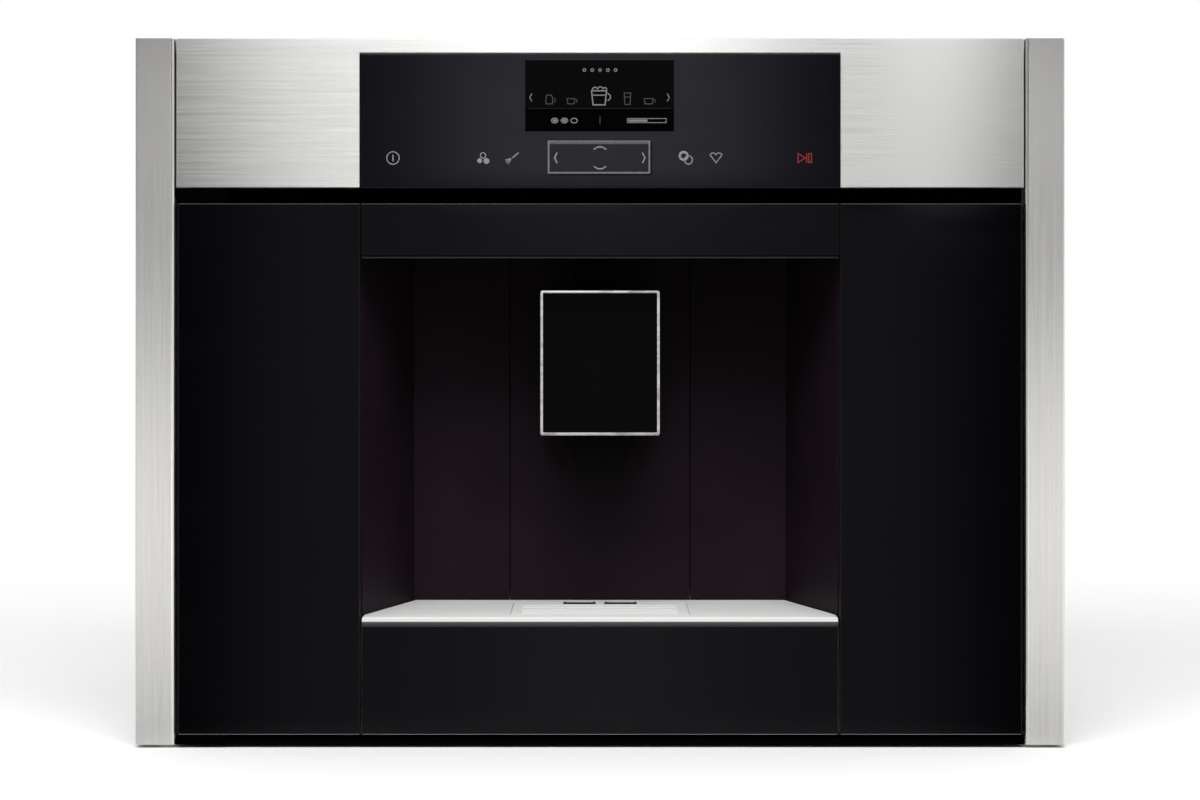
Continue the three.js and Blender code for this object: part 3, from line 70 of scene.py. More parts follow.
def feed(tree, socket, value):
    # a socket gets linked, anything else is written in
    if isinstance(value, bpy.types.NodeSocket):
        tree.links.new(value, socket)
    else:
        socket.default_value = value


def step(tree, kind, inputs=None, **settings):
    node = tree.nodes.new(kind)
    for name, value in settings.items():
        setattr(node, name, value)
    for name, value in (inputs or {}).items():
        feed(tree, node.inputs[name], value)
    return node


def sums(tree, operation, first, second=0.0):
    node = step(tree, "ShaderNodeMath", operation=operation)
    feed(tree, node.inputs[0], first)
    feed(tree, node.inputs[1], second)
    return node.outputs[0]


def times(tree, *values):
    total = values[0]
    for value in values[1:]:
        total = sums(tree, "MULTIPLY", total, value)
    return total


def plus(tree, *values):
    total = values[0]
    for value in values[1:]:
        total = sums(tree, "ADD", total, value)
    return total


def vectors(tree, operation, *values):
    node = step(tree, "ShaderNodeVectorMath", operation=operation)
    for socket, value in zip(node.inputs, values):
        feed(tree, socket, value)
    return node.outputs


def ramp(tree, value, low, high, start=0.0, end=1.0):
    # a soft step from start to end while the value goes from low to high
    values = {"Value": value, "From Min": low, "From Max": high, "To Min": start, "To Max": end}
    return step(tree, "ShaderNodeMapRange", values, interpolation_type="SMOOTHSTEP").outputs["Result"]


def spreadOut(tree, value, start=0.0, end=1.0):
    # noise keeps close to its middle, and this gives it the whole range
    return ramp(tree, value, 0.3, 0.7, start, end)


def between(tree, amount, first, second):
    values = {"Factor": amount, "A": first, "B": second}
    return step(tree, "ShaderNodeMix", values, data_type="FLOAT").outputs[0]


def blendColours(tree, amount, first, second):
    node = step(tree, "ShaderNodeMix", data_type="RGBA", clamp_factor=True)
    feed(tree, node.inputs[0], amount)
    feed(tree, node.inputs[6], first)
    feed(tree, node.inputs[7], second)
    return node.outputs[2]


def place(tree):
    # metres in the machine's own frame, fixed to the piece
    return step(tree, "ShaderNodeTexCoord").outputs["Object"]


def xyz(tree, vector):
    return step(tree, "ShaderNodeSeparateXYZ", {"Vector": vector}).outputs


def facing(tree):
    # x, y and z of the way that a face looks
    return xyz(tree, step(tree, "ShaderNodeNewGeometry").outputs["Normal"])


def noise(tree, where, scale, detail=2.0, rough=0.5, stretch=None):
    if stretch is not None:
        where = vectors(tree, "MULTIPLY", where, stretch)[0]
    values = {"Vector": where, "Scale": scale, "Detail": detail, "Roughness": rough}
    return step(tree, "ShaderNodeTexNoise", values).outputs["Fac"]


def newGroup(name, takes, gives):
    group = bpy.data.node_groups.new(name, "ShaderNodeTree")
    for label, kind, value in takes:
        socket = group.interface.new_socket(label, in_out="INPUT", socket_type="NodeSocket" + kind)
        socket.default_value = value
    for label, kind in gives:
        group.interface.new_socket(label, in_out="OUTPUT", socket_type="NodeSocket" + kind)
    return group, group.nodes.new("NodeGroupInput").outputs, group.nodes.new("NodeGroupOutput").inputs


def useGroup(tree, group, **values):
    node = tree.nodes.new("ShaderNodeGroup")
    node.node_tree = group
    for name, value in values.items():
        feed(tree, node.inputs[name], value)
    return node.outputs


# effects that several finishes share

def makeEdgeWear():
    # where an edge is sharp enough to be rubbed, broken up by patches
    tree, given, out = newGroup("edgeWear", [("Width", "Float", 0.0006), ("Patches", "Float", 60.0)],
                                [("Mask", "Float")])
    rounded = step(tree, "ShaderNodeBevel", {"Radius": given["Width"]}, samples=4).outputs["Normal"]
    flat = step(tree, "ShaderNodeNewGeometry").outputs["Normal"]
    turn = ramp(tree, vectors(tree, "DOT_PRODUCT", rounded, flat)["Value"], 0.985, 0.86)
    patches = ramp(tree, noise(tree, place(tree), given["Patches"], 3.0), 0.35, 0.62, 0.25, 1.0)
    feed(tree, out["Mask"], times(tree, turn, patches))
    return tree


def makeBrushing():
    # fine parallel scratches: Stretch is small along the grain and 1 across it
    tree, given, out = newGroup("brushing", [("Stretch", "Vector", (1, 1, 0.01)), ("Scale", "Float", 2600.0)],
                                [("Tone", "Float"), ("Height", "Float"), ("Cloud", "Float")])
    fine = noise(tree, place(tree), given["Scale"], 2.0, 0.6, given["Stretch"])
    bands = noise(tree, place(tree), times(tree, given["Scale"], 0.22), 3.0, 0.6, given["Stretch"])
    both = plus(tree, times(tree, fine, 0.6), times(tree, bands, 0.4))
    feed(tree, out["Tone"], spreadOut(tree, both))
    feed(tree, out["Height"], both)
    feed(tree, out["Cloud"], spreadOut(tree, noise(tree, place(tree), 7.0)))
    return tree


def makeMouldGrain():
    # the spark eroded skin of a moulded part, and its slow drift in colour
    tree, given, out = newGroup("mouldGrain", [("Scale", "Float", 1400.0)],
                                [("Height", "Float"), ("Tone", "Float")])
    pits = step(tree, "ShaderNodeTexVoronoi", {"Vector": place(tree), "Scale": given["Scale"]})
    soft = noise(tree, place(tree), times(tree, given["Scale"], 0.7))
    feed(tree, out["Height"], plus(tree, times(tree, pits.outputs["Distance"], 0.6), times(tree, soft, 0.4)))
    feed(tree, out["Tone"], spreadOut(tree, noise(tree, place(tree), 14.0, 3.0, 0.6)))
    return tree


def makeWipes():
    # what a cloth leaves on a gloss surface: long faint arcs and a few specks
    tree, given, out = newGroup("wipes", [("Scale", "Float", 7.0)], [("Film", "Float"), ("Specks", "Float")])
    drift = step(tree, "ShaderNodeTexNoise", {"Vector": place(tree), "Scale": 5.0}).outputs["Color"]
    bent = vectors(tree, "MULTIPLY_ADD", drift, (0.12, 0.12, 0.12), place(tree))[0]
    streaks = noise(tree, bent, given["Scale"], 4.0, 0.62, (1.0, 1.0, 5.0))
    feed(tree, out["Film"], ramp(tree, streaks, 0.42, 0.68))
    dots = step(tree, "ShaderNodeTexVoronoi", {"Vector": place(tree), "Scale": 260.0}).outputs["Distance"]
    few = ramp(tree, noise(tree, place(tree), 35.0), 0.56, 0.66)
    feed(tree, out["Specks"], times(tree, ramp(tree, dots, 0.10, 0.04), few))
    return tree


edgeWear = makeEdgeWear()
brushing = makeBrushing()
mouldGrain = makeMouldGrain()
wipes = makeWipes()
print("shared effects ready")


# finishes

def newFinish(name):
    finish = bpy.data.materials.new(name)
    finish.use_nodes = True
    tree = finish.node_tree
    return finish, tree, tree.nodes["Principled BSDF"]


def fixed(shader, **values):
    # constants stay on the shader's own sockets
    for name, value in values.items():
        shader.inputs[name.replace("_", " ")].default_value = value


def dress(tree, shader, colour, roughness):
    feed(tree, shader.inputs["Base Color"], colour)
    feed(tree, shader.inputs["Roughness"], roughness)


def bumped(tree, shader, height, strength, distance):
    bump = step(tree, "ShaderNodeBump", {"Height": height, "Strength": strength, "Distance": distance})
    feed(tree, shader.inputs["Normal"], bump.outputs["Normal"])


def tinted(colour, factor):
    return (min(1, colour[0] * factor), min(1, colour[1] * factor), min(1, colour[2] * factor), 1)


# grain is the axis the scratches run along; turn lays the sheen across them
alongZ = {"stretch": (1, 1, 0.008), "turn": 0.0}
alongX = {"stretch": (0.008, 1, 1), "turn": 0.25}
frontSteel = {"scale": 2600.0, "cloud": 0.03, "rough": 0.2, "anisotropic": 0.95, "metallic": 1.0,
              "bump": 0.03}
blastedSteel = {"grain": alongX, "scale": 2200.0, "contrast": 0.03, "cloud": 0.02, "anisotropic": 0.3,
                "metallic": 0.05, "bump": 0.06}
# the drip plate's rim, darker than its top as painted shade, and the dark foot below it, painted shade over
# the gap above the tray, which begins between these heights in mm
plateLipShade = {"rim": (0.53, 0.53, 0.52, 1), "foot": (0.035, 0.035, 0.037, 1), "from": 81.3, "to": 80.5}
steelLooks = {
    "trimSteel": dict(frontSteel, colour=(0.72, 0.71, 0.69), grain=alongZ, contrast=0.05),
    "fasciaSteel": dict(frontSteel, colour=(0.74, 0.735, 0.72), grain=alongX, contrast=0.045),
    "plateSteel": dict(blastedSteel, colour=(0.90, 0.90, 0.885), rough=0.42, lip=plateLipShade),
    "grateSteel": dict(blastedSteel, colour=(0.96, 0.96, 0.945), rough=0.4),
    "burrSteel": {"colour": (0.50, 0.50, 0.505), "grain": alongZ, "scale": 900.0, "contrast": 0.12,
                  "cloud": 0.05, "rough": 0.33, "anisotropic": 0.3, "metallic": 1.0, "bump": 0.3},
}
# what all the steels share: rubbed edges, and how far the scratches change the gloss and go in
steelWear = {"share": 0.5, "lighter": 1.2, "group": {"Width": 0.0005, "Patches": 40.0}}
scratches = {"spread": 0.02, "depth": 0.00002}


def brushedSteel(name, look):
    finish, tree, shader = newFinish(name)
    colour, contrast, rough = look["colour"], look["contrast"], look["rough"]
    grain = useGroup(tree, brushing, Stretch=look["grain"]["stretch"], Scale=look["scale"])
    worn = times(tree, useGroup(tree, edgeWear, **steelWear["group"])["Mask"], steelWear["share"])
    base = blendColours(tree, grain["Tone"], tinted(colour, 1 - contrast), tinted(colour, 1 + contrast))
    base = blendColours(tree, times(tree, grain["Cloud"], look["cloud"]), base, (1, 1, 1, 1))
    base = blendColours(tree, worn, base, tinted(colour, steelWear["lighter"]))
    if "lip" in look:
        # a blasted top, the rim round it darker as painted shade, and below that a dark foot by height, the
        # painted shade of the gap above the tray
        lip = look["lip"]
        upright = ramp(tree, facing(tree)["Z"], 0.97, 0.75)
        below = ramp(tree, xyz(tree, place(tree))["Z"], lip["from"] * mm, lip["to"] * mm)
        base = blendColours(tree, upright, base, blendColours(tree, below, lip["rim"], lip["foot"]))
    spread = scratches["spread"]
    dress(tree, shader, base, ramp(tree, grain["Tone"], 0, 1, rough - spread, rough + spread))
    fixed(shader, Metallic=look["metallic"], Anisotropic=look["anisotropic"],
          Anisotropic_Rotation=look["grain"]["turn"])
    tangent = step(tree, "ShaderNodeTangent", direction_type="RADIAL", axis="Z")
    feed(tree, shader.inputs["Tangent"], tangent.outputs[0])
    bumped(tree, shader, grain["Height"], look["bump"], scratches["depth"])
    return finish


# ground, under and side are the pane's edges: along the top, along the bottom and upright; their tones differ
# by which way the edge faces, a painted highlight along the door panes' bottom edges and painted shade on the
# upright edges
doorPane = {"colour": (0.0009, 0.0009, 0.0014, 1), "ground": (0.07, 0.07, 0.074, 1),
            "under": (0.38, 0.38, 0.38, 1), "side": (0.008, 0.008, 0.0085, 1), "rough": 0.03, "shine": 0.12,
            "tint": (0.96, 0.94, 1, 1)}
glassLooks = {
    "doorGlass": doorPane,
    "barGlass": dict(doorPane, under=(0.05, 0.05, 0.05, 1)),
    "controlGlass": dict(doorPane, colour=(0.0010, 0.0010, 0.0022, 1), ground=(0.05, 0.051, 0.056, 1),
                         under=(0.05, 0.05, 0.055, 1), shine=0.13, tint=(0.88, 0.87, 1, 1)),
    "outletGlass": dict(doorPane, colour=(0.0012, 0.0010, 0.0012, 1), ground=(0.03, 0.03, 0.03, 1),
                        under=(0.03, 0.03, 0.03, 1), rough=0.05, shine=0.03, tint=(1, 0.9, 1, 1)),
}
# what a cloth and dust leave on every pane, and how much rougher its ground edges are
glassFilm = {"wipes": 6.0, "hazier": 0.04, "dust": (0.03, 0.03, 0.033, 1), "share": 0.12, "edges": 0.3}


def blackGlass(name, look):
    finish, tree, shader = newFinish(name)
    film = useGroup(tree, wipes, Scale=glassFilm["wipes"])
    face = facing(tree)
    # the edge tone is picked by which way the edge faces: painted highlight below on the door panes, painted
    # shade on the upright edges
    edge = blendColours(tree, ramp(tree, face["Z"], -0.2, -0.5), look["ground"], look["under"])
    edge = blendColours(tree, ramp(tree, sums(tree, "ABSOLUTE", face["X"]), 0.3, 0.6), edge, look["side"])
    # the ground edges of the pane are paler than its printed back
    ground = ramp(tree, sums(tree, "ABSOLUTE", face["Y"]), 0.93, 0.6)
    colour = blendColours(tree, ground, look["colour"], edge)
    colour = blendColours(tree, times(tree, film["Specks"], glassFilm["share"]), colour, glassFilm["dust"])
    gloss = ramp(tree, film["Film"], 0, 1, look["rough"], look["rough"] + glassFilm["hazier"])
    dress(tree, shader, colour, plus(tree, gloss, times(tree, ground, glassFilm["edges"])))
    fixed(shader, Specular_IOR_Level=look["shine"], Specular_Tint=look["tint"])
    return finish


plasticLooks = {
    "nichePlastic": {"colour": (0.0112, 0.0068, 0.0100), "edge": (0.024, 0.019, 0.022, 1), "rubbed": 0.3,
                     "rough": 0.5, "shine": 0.05, "grain": 1100.0, "bump": 0.2},
    "blackPlastic": {"colour": (0.0038, 0.0037, 0.0044), "edge": (0.02, 0.02, 0.022, 1), "rubbed": 0.3,
                     "rough": 0.45, "shine": 0.1, "grain": 1500.0, "bump": 0.25},
    # a darker copy of the black plastic, for the outlet and the grips in the niche: painted shade
    "nicheShadePlastic": {"colour": (0.0018, 0.0015, 0.0018), "edge": (0.008, 0.0075, 0.008, 1), "rubbed": 0.3,
                    "rough": 0.42, "shine": 0.05, "grain": 1500.0, "bump": 0.25},
    "greyPlastic": {"colour": (0.10, 0.105, 0.11), "edge": (0.22, 0.225, 0.23, 1), "rubbed": 0.35,
                    "rough": 0.5, "shine": 0.4, "grain": 1300.0, "bump": 0.3},
    "floatRed": {"colour": (0.5, 0.03, 0.02), "edge": (0.62, 0.12, 0.1, 1), "rubbed": 0.3,
                 "rough": 0.4, "shine": 0.45, "grain": 1500.0, "bump": 0.2},
    "softRubber": {"colour": (0.012, 0.012, 0.012), "edge": (0.05, 0.05, 0.05, 1), "rubbed": 0.4,
                   "rough": 0.75, "shine": 0.2, "grain": 900.0, "bump": 0.3},
}
# the moulded skin that all of them have
plasticSkin = {"tints": (0.88, 1.14), "smoother": 0.06, "rougher": 0.08, "depth": 0.00008,
               "wear": {"Width": 0.0005, "Patches": 70.0}}


def mouldedPlastic(name, look):
    finish, tree, shader = newFinish(name)
    grain = useGroup(tree, mouldGrain, Scale=look["grain"])
    wear = useGroup(tree, edgeWear, **plasticSkin["wear"])["Mask"]
    dark, light = [tinted(look["colour"], tint) for tint in plasticSkin["tints"]]
    base = blendColours(tree, grain["Tone"], dark, light)
    base = blendColours(tree, times(tree, wear, look["rubbed"]), base, look["edge"])
    smoothest, roughest = look["rough"] - plasticSkin["smoother"], look["rough"] + plasticSkin["rougher"]
    dress(tree, shader, base, ramp(tree, grain["Height"], 0.1, 0.7, smoothest, roughest))
    fixed(shader, Specular_IOR_Level=look["shine"])
    bumped(tree, shader, grain["Height"], look["bump"], plasticSkin["depth"])
    return finish


chromeLook = {"wipes": 22.0, "bright": (0.66, 0.66, 0.66, 1), "dull": (0.40, 0.40, 0.405, 1),
              "rough": (0.14, 0.22)}


def chromeFinish(name, look):
    finish, tree, shader = newFinish(name)
    film = useGroup(tree, wipes, Scale=look["wipes"])["Film"]
    dress(tree, shader, blendColours(tree, film, look["bright"], look["dull"]),
          ramp(tree, film, 0, 1, *look["rough"]))
    fixed(shader, Metallic=1.0)
    return finish


zincLook = {"flakes": 95.0, "dark": (0.53, 0.54, 0.55, 1), "light": (0.60, 0.61, 0.62, 1), "clouds": 11.0,
            "cloud": (0.56, 0.565, 0.57, 1), "cloudShare": 0.3, "edge": (0.74, 0.745, 0.75, 1),
            "wear": {"Width": 0.0008, "Patches": 45.0}, "rough": (0.38, 0.48), "metallic": 0.9,
            "dents": 700.0, "bump": (0.12, 0.00005)}


def zincFinish(name, look):
    finish, tree, shader = newFinish(name)
    flakes = step(tree, "ShaderNodeTexVoronoi", {"Vector": place(tree), "Scale": look["flakes"]})
    flake = step(tree, "ShaderNodeSeparateColor", {"Color": flakes.outputs["Color"]}).outputs[0]
    cloud = spreadOut(tree, noise(tree, place(tree), look["clouds"], 3.0))
    base = blendColours(tree, flake, look["dark"], look["light"])
    base = blendColours(tree, times(tree, cloud, look["cloudShare"]), base, look["cloud"])
    base = blendColours(tree, useGroup(tree, edgeWear, **look["wear"])["Mask"], base, look["edge"])
    dress(tree, shader, base, ramp(tree, flake, 0, 1, *look["rough"]))
    fixed(shader, Metallic=look["metallic"])
    bumped(tree, shader, noise(tree, place(tree), look["dents"]), *look["bump"])
    return finish


# a near-black coat with no reflection for the sheet parts seen through the gaps round the door and fascia:
# black paint, made this dark and dull as the painted shade of those gaps
blackCoatGapShadeLook = {"peel": 900.0, "dark": (0.0005, 0.0005, 0.0006, 1), "light": (0.0010, 0.0010, 0.0012, 1),
              "edge": (0.008, 0.008, 0.0085, 1), "rubbed": 0.2, "wear": {"Width": 0.0006, "Patches": 60.0},
              "rough": (0.46, 0.6), "bump": (0.25, 0.00006)}


def blackCoatGapShade(name, look):
    finish, tree, shader = newFinish(name)
    peel = noise(tree, place(tree), look["peel"])
    wear = useGroup(tree, edgeWear, **look["wear"])["Mask"]
    base = blendColours(tree, peel, look["dark"], look["light"])
    base = blendColours(tree, times(tree, wear, look["rubbed"]), base, look["edge"])
    dress(tree, shader, base, spreadOut(tree, peel, *look["rough"]))
    fixed(shader, Specular_IOR_Level=0.0)
    bumped(tree, shader, peel, *look["bump"])
    return finish


alloyLook = {"grain": 700.0, "dark": (0.52, 0.53, 0.54, 1), "light": (0.66, 0.67, 0.68, 1),
             "edge": (0.8, 0.8, 0.81, 1), "wear": {"Width": 0.001, "Patches": 30.0}, "rough": (0.4, 0.58),
             "metallic": 0.85, "bump": (0.35, 0.0001)}


def castAlloy(name, look):
    finish, tree, shader = newFinish(name)
    grain = useGroup(tree, mouldGrain, Scale=look["grain"])
    base = blendColours(tree, grain["Tone"], look["dark"], look["light"])
    base = blendColours(tree, useGroup(tree, edgeWear, **look["wear"])["Mask"], base, look["edge"])
    dress(tree, shader, base, ramp(tree, grain["Height"], 0.1, 0.7, *look["rough"]))
    fixed(shader, Metallic=look["metallic"])
    bumped(tree, shader, grain["Height"], *look["bump"])
    return finish


smokyLook = {"wipes": 14.0, "light": (0.42, 0.46, 0.50, 1), "dark": (0.36, 0.40, 0.44, 1),
             "rough": (0.06, 0.16), "clear": 0.85, "bend": 1.49}


def smokyPlastic(name, look):
    finish, tree, shader = newFinish(name)
    film = useGroup(tree, wipes, Scale=look["wipes"])["Film"]
    dress(tree, shader, blendColours(tree, film, look["light"], look["dark"]),
          ramp(tree, film, 0, 1, *look["rough"]))
    fixed(shader, Transmission_Weight=look["clear"], IOR=look["bend"])
    return finish


boardLook = {"scale": 260.0, "gap": 0.06, "board": (0.02, 0.13, 0.05, 1), "other": (0.015, 0.10, 0.04, 1),
             "track": (0.05, 0.24, 0.10, 1), "rough": (0.3, 0.45), "bump": (0.3, 0.00004)}


def boardFinish(name, look):
    finish, tree, shader = newFinish(name)
    where = vectors(tree, "MULTIPLY", place(tree), (look["scale"], look["scale"], look["scale"]))[0]
    tracks = step(tree, "ShaderNodeTexBrick", {"Vector": where, "Scale": 1.0, "Mortar Size": look["gap"],
                                               "Color1": look["board"], "Color2": look["other"],
                                               "Mortar": look["track"]}).outputs
    dress(tree, shader, tracks["Color"], ramp(tree, tracks["Fac"], 0, 1, *look["rough"]))
    bumped(tree, shader, tracks["Fac"], *look["bump"])
    return finish


# the display's place in mm, the height where its lower field begins, and how far it stands out
displayLook = {"x": (-48.0, 47.4), "z": (395.2, 440.9), "splitZ": 410.0, "raise": 0.06,
               "lower": (0.0004, 0.0004, 0.0004, 1), "upper": (0.0022, 0.0022, 0.0026, 1),
               "cell": (0.0014, 0.0014, 0.0016, 1), "cells": 3300.0, "share": 0.3, "blur": 0.2,
               "rough": (0.5, 0.62), "shine": 0.01}


def displayFinish(name, look):
    finish, tree, shader = newFinish(name)
    cells = noise(tree, place(tree), look["cells"], 1.0)
    middle, blur = look["splitZ"] * mm, look["blur"] * mm
    upper = ramp(tree, xyz(tree, place(tree))["Z"], middle - blur, middle + blur)
    base = blendColours(tree, upper, look["lower"], look["upper"])
    base = blendColours(tree, times(tree, cells, look["share"]), base, look["cell"])
    dress(tree, shader, base, spreadOut(tree, cells, *look["rough"]))
    fixed(shader, Specular_IOR_Level=look["shine"])
    return finish


unlit = {"glow": 0.0, "cell": 900.0}
inkLooks = {
    "printInk": dict(unlit, colour=(0.20, 0.20, 0.205)),
    # the next three inks paint the navigation pad as a shallow recess: the frame's lighter ink its bevels
    # catching light (painted highlight), the bar's darker ink its upper bevel in shade (painted shade), and
    # the black ink its painted shadow, which also prints the tank's level lines
    "bevelLightInk": dict(unlit, colour=(0.13, 0.13, 0.132)),
    "bevelShadeInk": dict(unlit, colour=(0.075, 0.075, 0.077)),
    "blackInkAndShadow": dict(unlit, colour=(0.0012, 0.0012, 0.0014)),
    "litWhite": {"colour": (0.115, 0.115, 0.118), "glow": 0.5, "cell": 3300.0},
    "litGrey": {"colour": (0.04, 0.04, 0.042), "glow": 0.3, "cell": 3300.0},
    "litFaint": {"colour": (0.008, 0.008, 0.0085), "glow": 0.3, "cell": 3300.0},
    "litRed": {"colour": (0.13, 0.013, 0.013), "glow": 0.45, "cell": 900.0},
}
inkCoat = {"tints": (0.86, 1.1), "rough": (0.45, 0.6), "shine": 0.2}


def inkFinish(name, look):
    # printed or lit signs; the lit ones show the fine cells of the display under them
    finish, tree, shader = newFinish(name)
    dark, light = [tinted(look["colour"], tint) for tint in inkCoat["tints"]]
    cells = noise(tree, place(tree), look["cell"])
    base = blendColours(tree, spreadOut(tree, cells), dark, light)
    dress(tree, shader, base, spreadOut(tree, cells, *inkCoat["rough"]))
    fixed(shader, Specular_IOR_Level=inkCoat["shine"])
    if look["glow"]:
        feed(tree, shader.inputs["Emission Color"], base)
        fixed(shader, Emission_Strength=look["glow"])
    return finish


makers = [(brushedSteel, steelLooks), (blackGlass, glassLooks), (mouldedPlastic, plasticLooks),
          (chromeFinish, {"chrome": chromeLook}), (zincFinish, {"zincSheet": zincLook}),
          (blackCoatGapShade, {"blackSheet": blackCoatGapShadeLook}), (castAlloy, {"castAlloy": alloyLook}),
          (smokyPlastic, {"smokyPlastic": smokyLook}), (boardFinish, {"circuitBoard": boardLook}),
          (displayFinish, {"displayWindow": displayLook}), (inkFinish, inkLooks)]
finishes = {label: maker(label, look) for maker, looks in makers for label, look in looks.items()}

wornBy = {
    "trimSteel": ["left_trim", "right_trim"],
    "fasciaSteel": ["fascia_panel"],
    "plateSteel": ["drip_plate"],
    "grateSteel": ["drip_grate"],
    "burrSteel": ["grinder_burr"],
    "doorGlass": ["door_glass_left", "door_glass_right", "tray_front_glass"],
    "barGlass": ["door_bar"],
    "outletGlass": ["outlet_face"],
    "controlGlass": ["control_glass"],
    "chrome": ["outlet_ring"],
    "zincSheet": ["left_side_panel", "right_side_panel", "base_pan", "rear_panel", "top_cover", "tray_bay"],
    # parts seen in the gaps wear the near-black coat that paints the gaps' shade
    "blackSheet": ["front_header", "hinge_bracket_top", "hinge_bracket_bottom", "door_hinge_top",
                   "door_hinge_bottom", "plinth_strip"],
    "nichePlastic": ["niche_left_wall", "niche_right_wall", "niche_ceiling", "niche_back_left",
                     "niche_back_right", "outlet_guide_panel"],
    # the outlet wears a darker copy of the black plastic, the painted shade of the niche
    "nicheShadePlastic": ["outlet_carriage", "outlet_cover", "nozzle_block"],
    "blackPlastic": ["display_module", "cord_gland", "door_frame", "drip_tray", "tank_lid", "tank_handle",
                     "tank_bay", "grinder_housing", "grind_knob", "main_switch"],
    "greyPlastic": ["front_frame_left", "front_frame_right", "brew_unit", "puck_chute", "grounds_container",
                    "flow_meter", "water_hose"],
    "smokyPlastic": ["water_tank", "bean_container"],
    "floatRed": ["tray_float"],
    "castAlloy": ["thermoblock", "grinder_motor", "water_pump", "brew_piston"],
    "circuitBoard": ["control_board", "power_board"],
}
finishOf = {wearer: label for label, wearers in wornBy.items() for wearer in wearers}
for wearer, label in finishOf.items():
    cadNodes[wearer].data.materials.clear()
    cadNodes[wearer].data.materials.append(finishes[label])
print("finishes given to", len(finishOf), "of", len(cadNodes), "parts")


# pieces

def boxOf(node):
    # a part's lowest and highest corners in mm
    return [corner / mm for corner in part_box(node)]


def addPiece(name, bm, body, finish, smoothBelow=35.0):
    # smoothBelow: edges that turn less than this many degrees are shaded round
    bmesh.ops.recalc_face_normals(bm, faces=bm.faces)
    mesh = bpy.data.meshes.new(name)
    bm.to_mesh(mesh)
    bm.free()
    for face in mesh.polygons:
        face.use_smooth = True
    mesh.set_sharp_from_angle(angle=math.radians(smoothBelow))
    mesh.materials.append(finishes[finish])
    piece = bpy.data.objects.new(name, mesh)
    scene.collection.objects.link(piece)
    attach(piece, body)
    return piece


# the width in mm that each part's sharp corners are rounded to
rolledEdges = {
    0.8: ["fascia_panel"],
    0.5: ["outlet_cover", "nozzle_block", "drip_tray", "grounds_container", "grind_knob"],
    0.35: ["left_trim", "right_trim", "drip_plate", "outlet_carriage", "door_frame", "main_switch",
           "tank_lid", "water_tank", "bean_container", "brew_unit", "outlet_guide_panel"],
    0.25: ["control_glass", "door_glass_left", "door_glass_right", "door_bar", "tray_front_glass",
           "outlet_face", "outlet_ring", "front_frame_left", "front_frame_right", "plinth_strip",
           "niche_left_wall", "niche_right_wall", "niche_back_left", "niche_back_right", "niche_ceiling",
           "cord_gland"],
}
rolling = {"merge": 0.005, "flat": 0.5, "sharp": 40.0}      # mm, and two angles in degrees


def rollEdges(node, width, look):
    bm = bmesh.new()
    bm.from_mesh(cadNodes[node].data)
    bmesh.ops.remove_doubles(bm, verts=bm.verts, dist=look["merge"] * mm)
    bmesh.ops.dissolve_limit(bm, angle_limit=math.radians(look["flat"]), verts=bm.verts, edges=bm.edges)
    sharp = [edge for edge in bm.edges
             if edge.is_manifold and edge.calc_face_angle(0) > math.radians(look["sharp"])]
    bmesh.ops.bevel(bm, geom=sharp, offset=width * mm, offset_type="OFFSET", segments=2, profile=0.5,
                    affect="EDGES", clamp_overlap=True)
    piece = addPiece(node + ".finished", bm, bodyOf[node], finishOf[node])
    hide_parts(node)
    even = piece.modifiers.new("even", "WEIGHTED_NORMAL")
    even.keep_sharp = True


for width, nodes in rolledEdges.items():
    for node in nodes:
        rollEdges(node, width, rolling)
print("edges rolled")


def ringOf(bm, spots):
    return [bm.verts.new(Vector(spot) * mm) for spot in spots]


def skin(bm, rings, closed=False):
    # faces from ring to ring, with a cap at each end unless the rings close on themselves
    pairs = list(zip(rings, rings[1:]))
    if closed:
        pairs.append((rings[-1], rings[0]))
    else:
        bm.faces.new(reversed(rings[0]))
        bm.faces.new(rings[-1])
    count = len(rings[0])
    for near, far in pairs:
        for i in range(count):
            j = (i + 1) % count
            bm.faces.new((near[i], near[j], far[j], far[i]))


sunk = 0.02     # how deep in mm a printed sign reaches into what it is printed on


def prism(bm, outline, face, thick):
    # a flat sign: the outline in mm in x and z, its front thick mm ahead of the face it lies on
    skin(bm, [ringOf(bm, [(x, y, z) for x, z in outline]) for y in (face - thick, face + sunk)])


def stroke(bm, points, width, face, thick=0.06, closed=False):
    # a line of this width along the points, mitred at its corners
    flat = [Vector(point) for point in points]
    count = len(flat)
    front, back = face - thick, face + sunk
    corners = ((1, front), (1, back), (-1, back), (-1, front))
    rings = []
    for i, here in enumerate(flat):
        ways = []
        if closed or i > 0:
            ways.append((here - flat[i - 1]).normalized())
        if closed or i < count - 1:
            ways.append((flat[(i + 1) % count] - here).normalized())
        normals = [Vector((-way.y, way.x)) for way in ways]
        mitre = sum(normals, Vector((0, 0))).normalized()
        aside = mitre * (width / 2 / max(0.4, mitre.dot(normals[0])))
        spots = [(here.x + aside.x * side, y, here.y + aside.y * side) for side, y in corners]
        rings.append(ringOf(bm, spots))
    skin(bm, rings, closed)


def arc(centre, radius, start=0.0, end=360.0, steps=20, squash=1.0):
    # points on an arc in degrees; a whole turn leaves its last point out
    whole = abs(end - start) >= 360
    points = []
    for i in range(steps if whole else steps + 1):
        angle = math.radians(start + (end - start) * i / steps)
        points.append((centre[0] + radius * math.cos(angle), centre[1] + squash * radius * math.sin(angle)))
    return points


def moved(points, x, z):
    return [(x + px, z + pz) for px, pz in points]


def oblong(x0, z0, x1, z1):
    return [(x0, z0), (x1, z0), (x1, z1), (x0, z1)]


def draw(bm, rows, face, thick=0.06, at=(0.0, 0.0)):
    # rows of kind, width and points: a line has two ends, a loop none, and a fill is solid
    for kind, width, points in rows:
        if kind == "fill":
            prism(bm, moved(points, *at), face, thick)
        else:
            stroke(bm, moved(points, *at), width, face, thick, closed=kind == "loop")


glassFace = boxOf("control_glass")[0].y


def onGlass(name, bm, finish):
    addPiece(name, bm, "housing", finish)


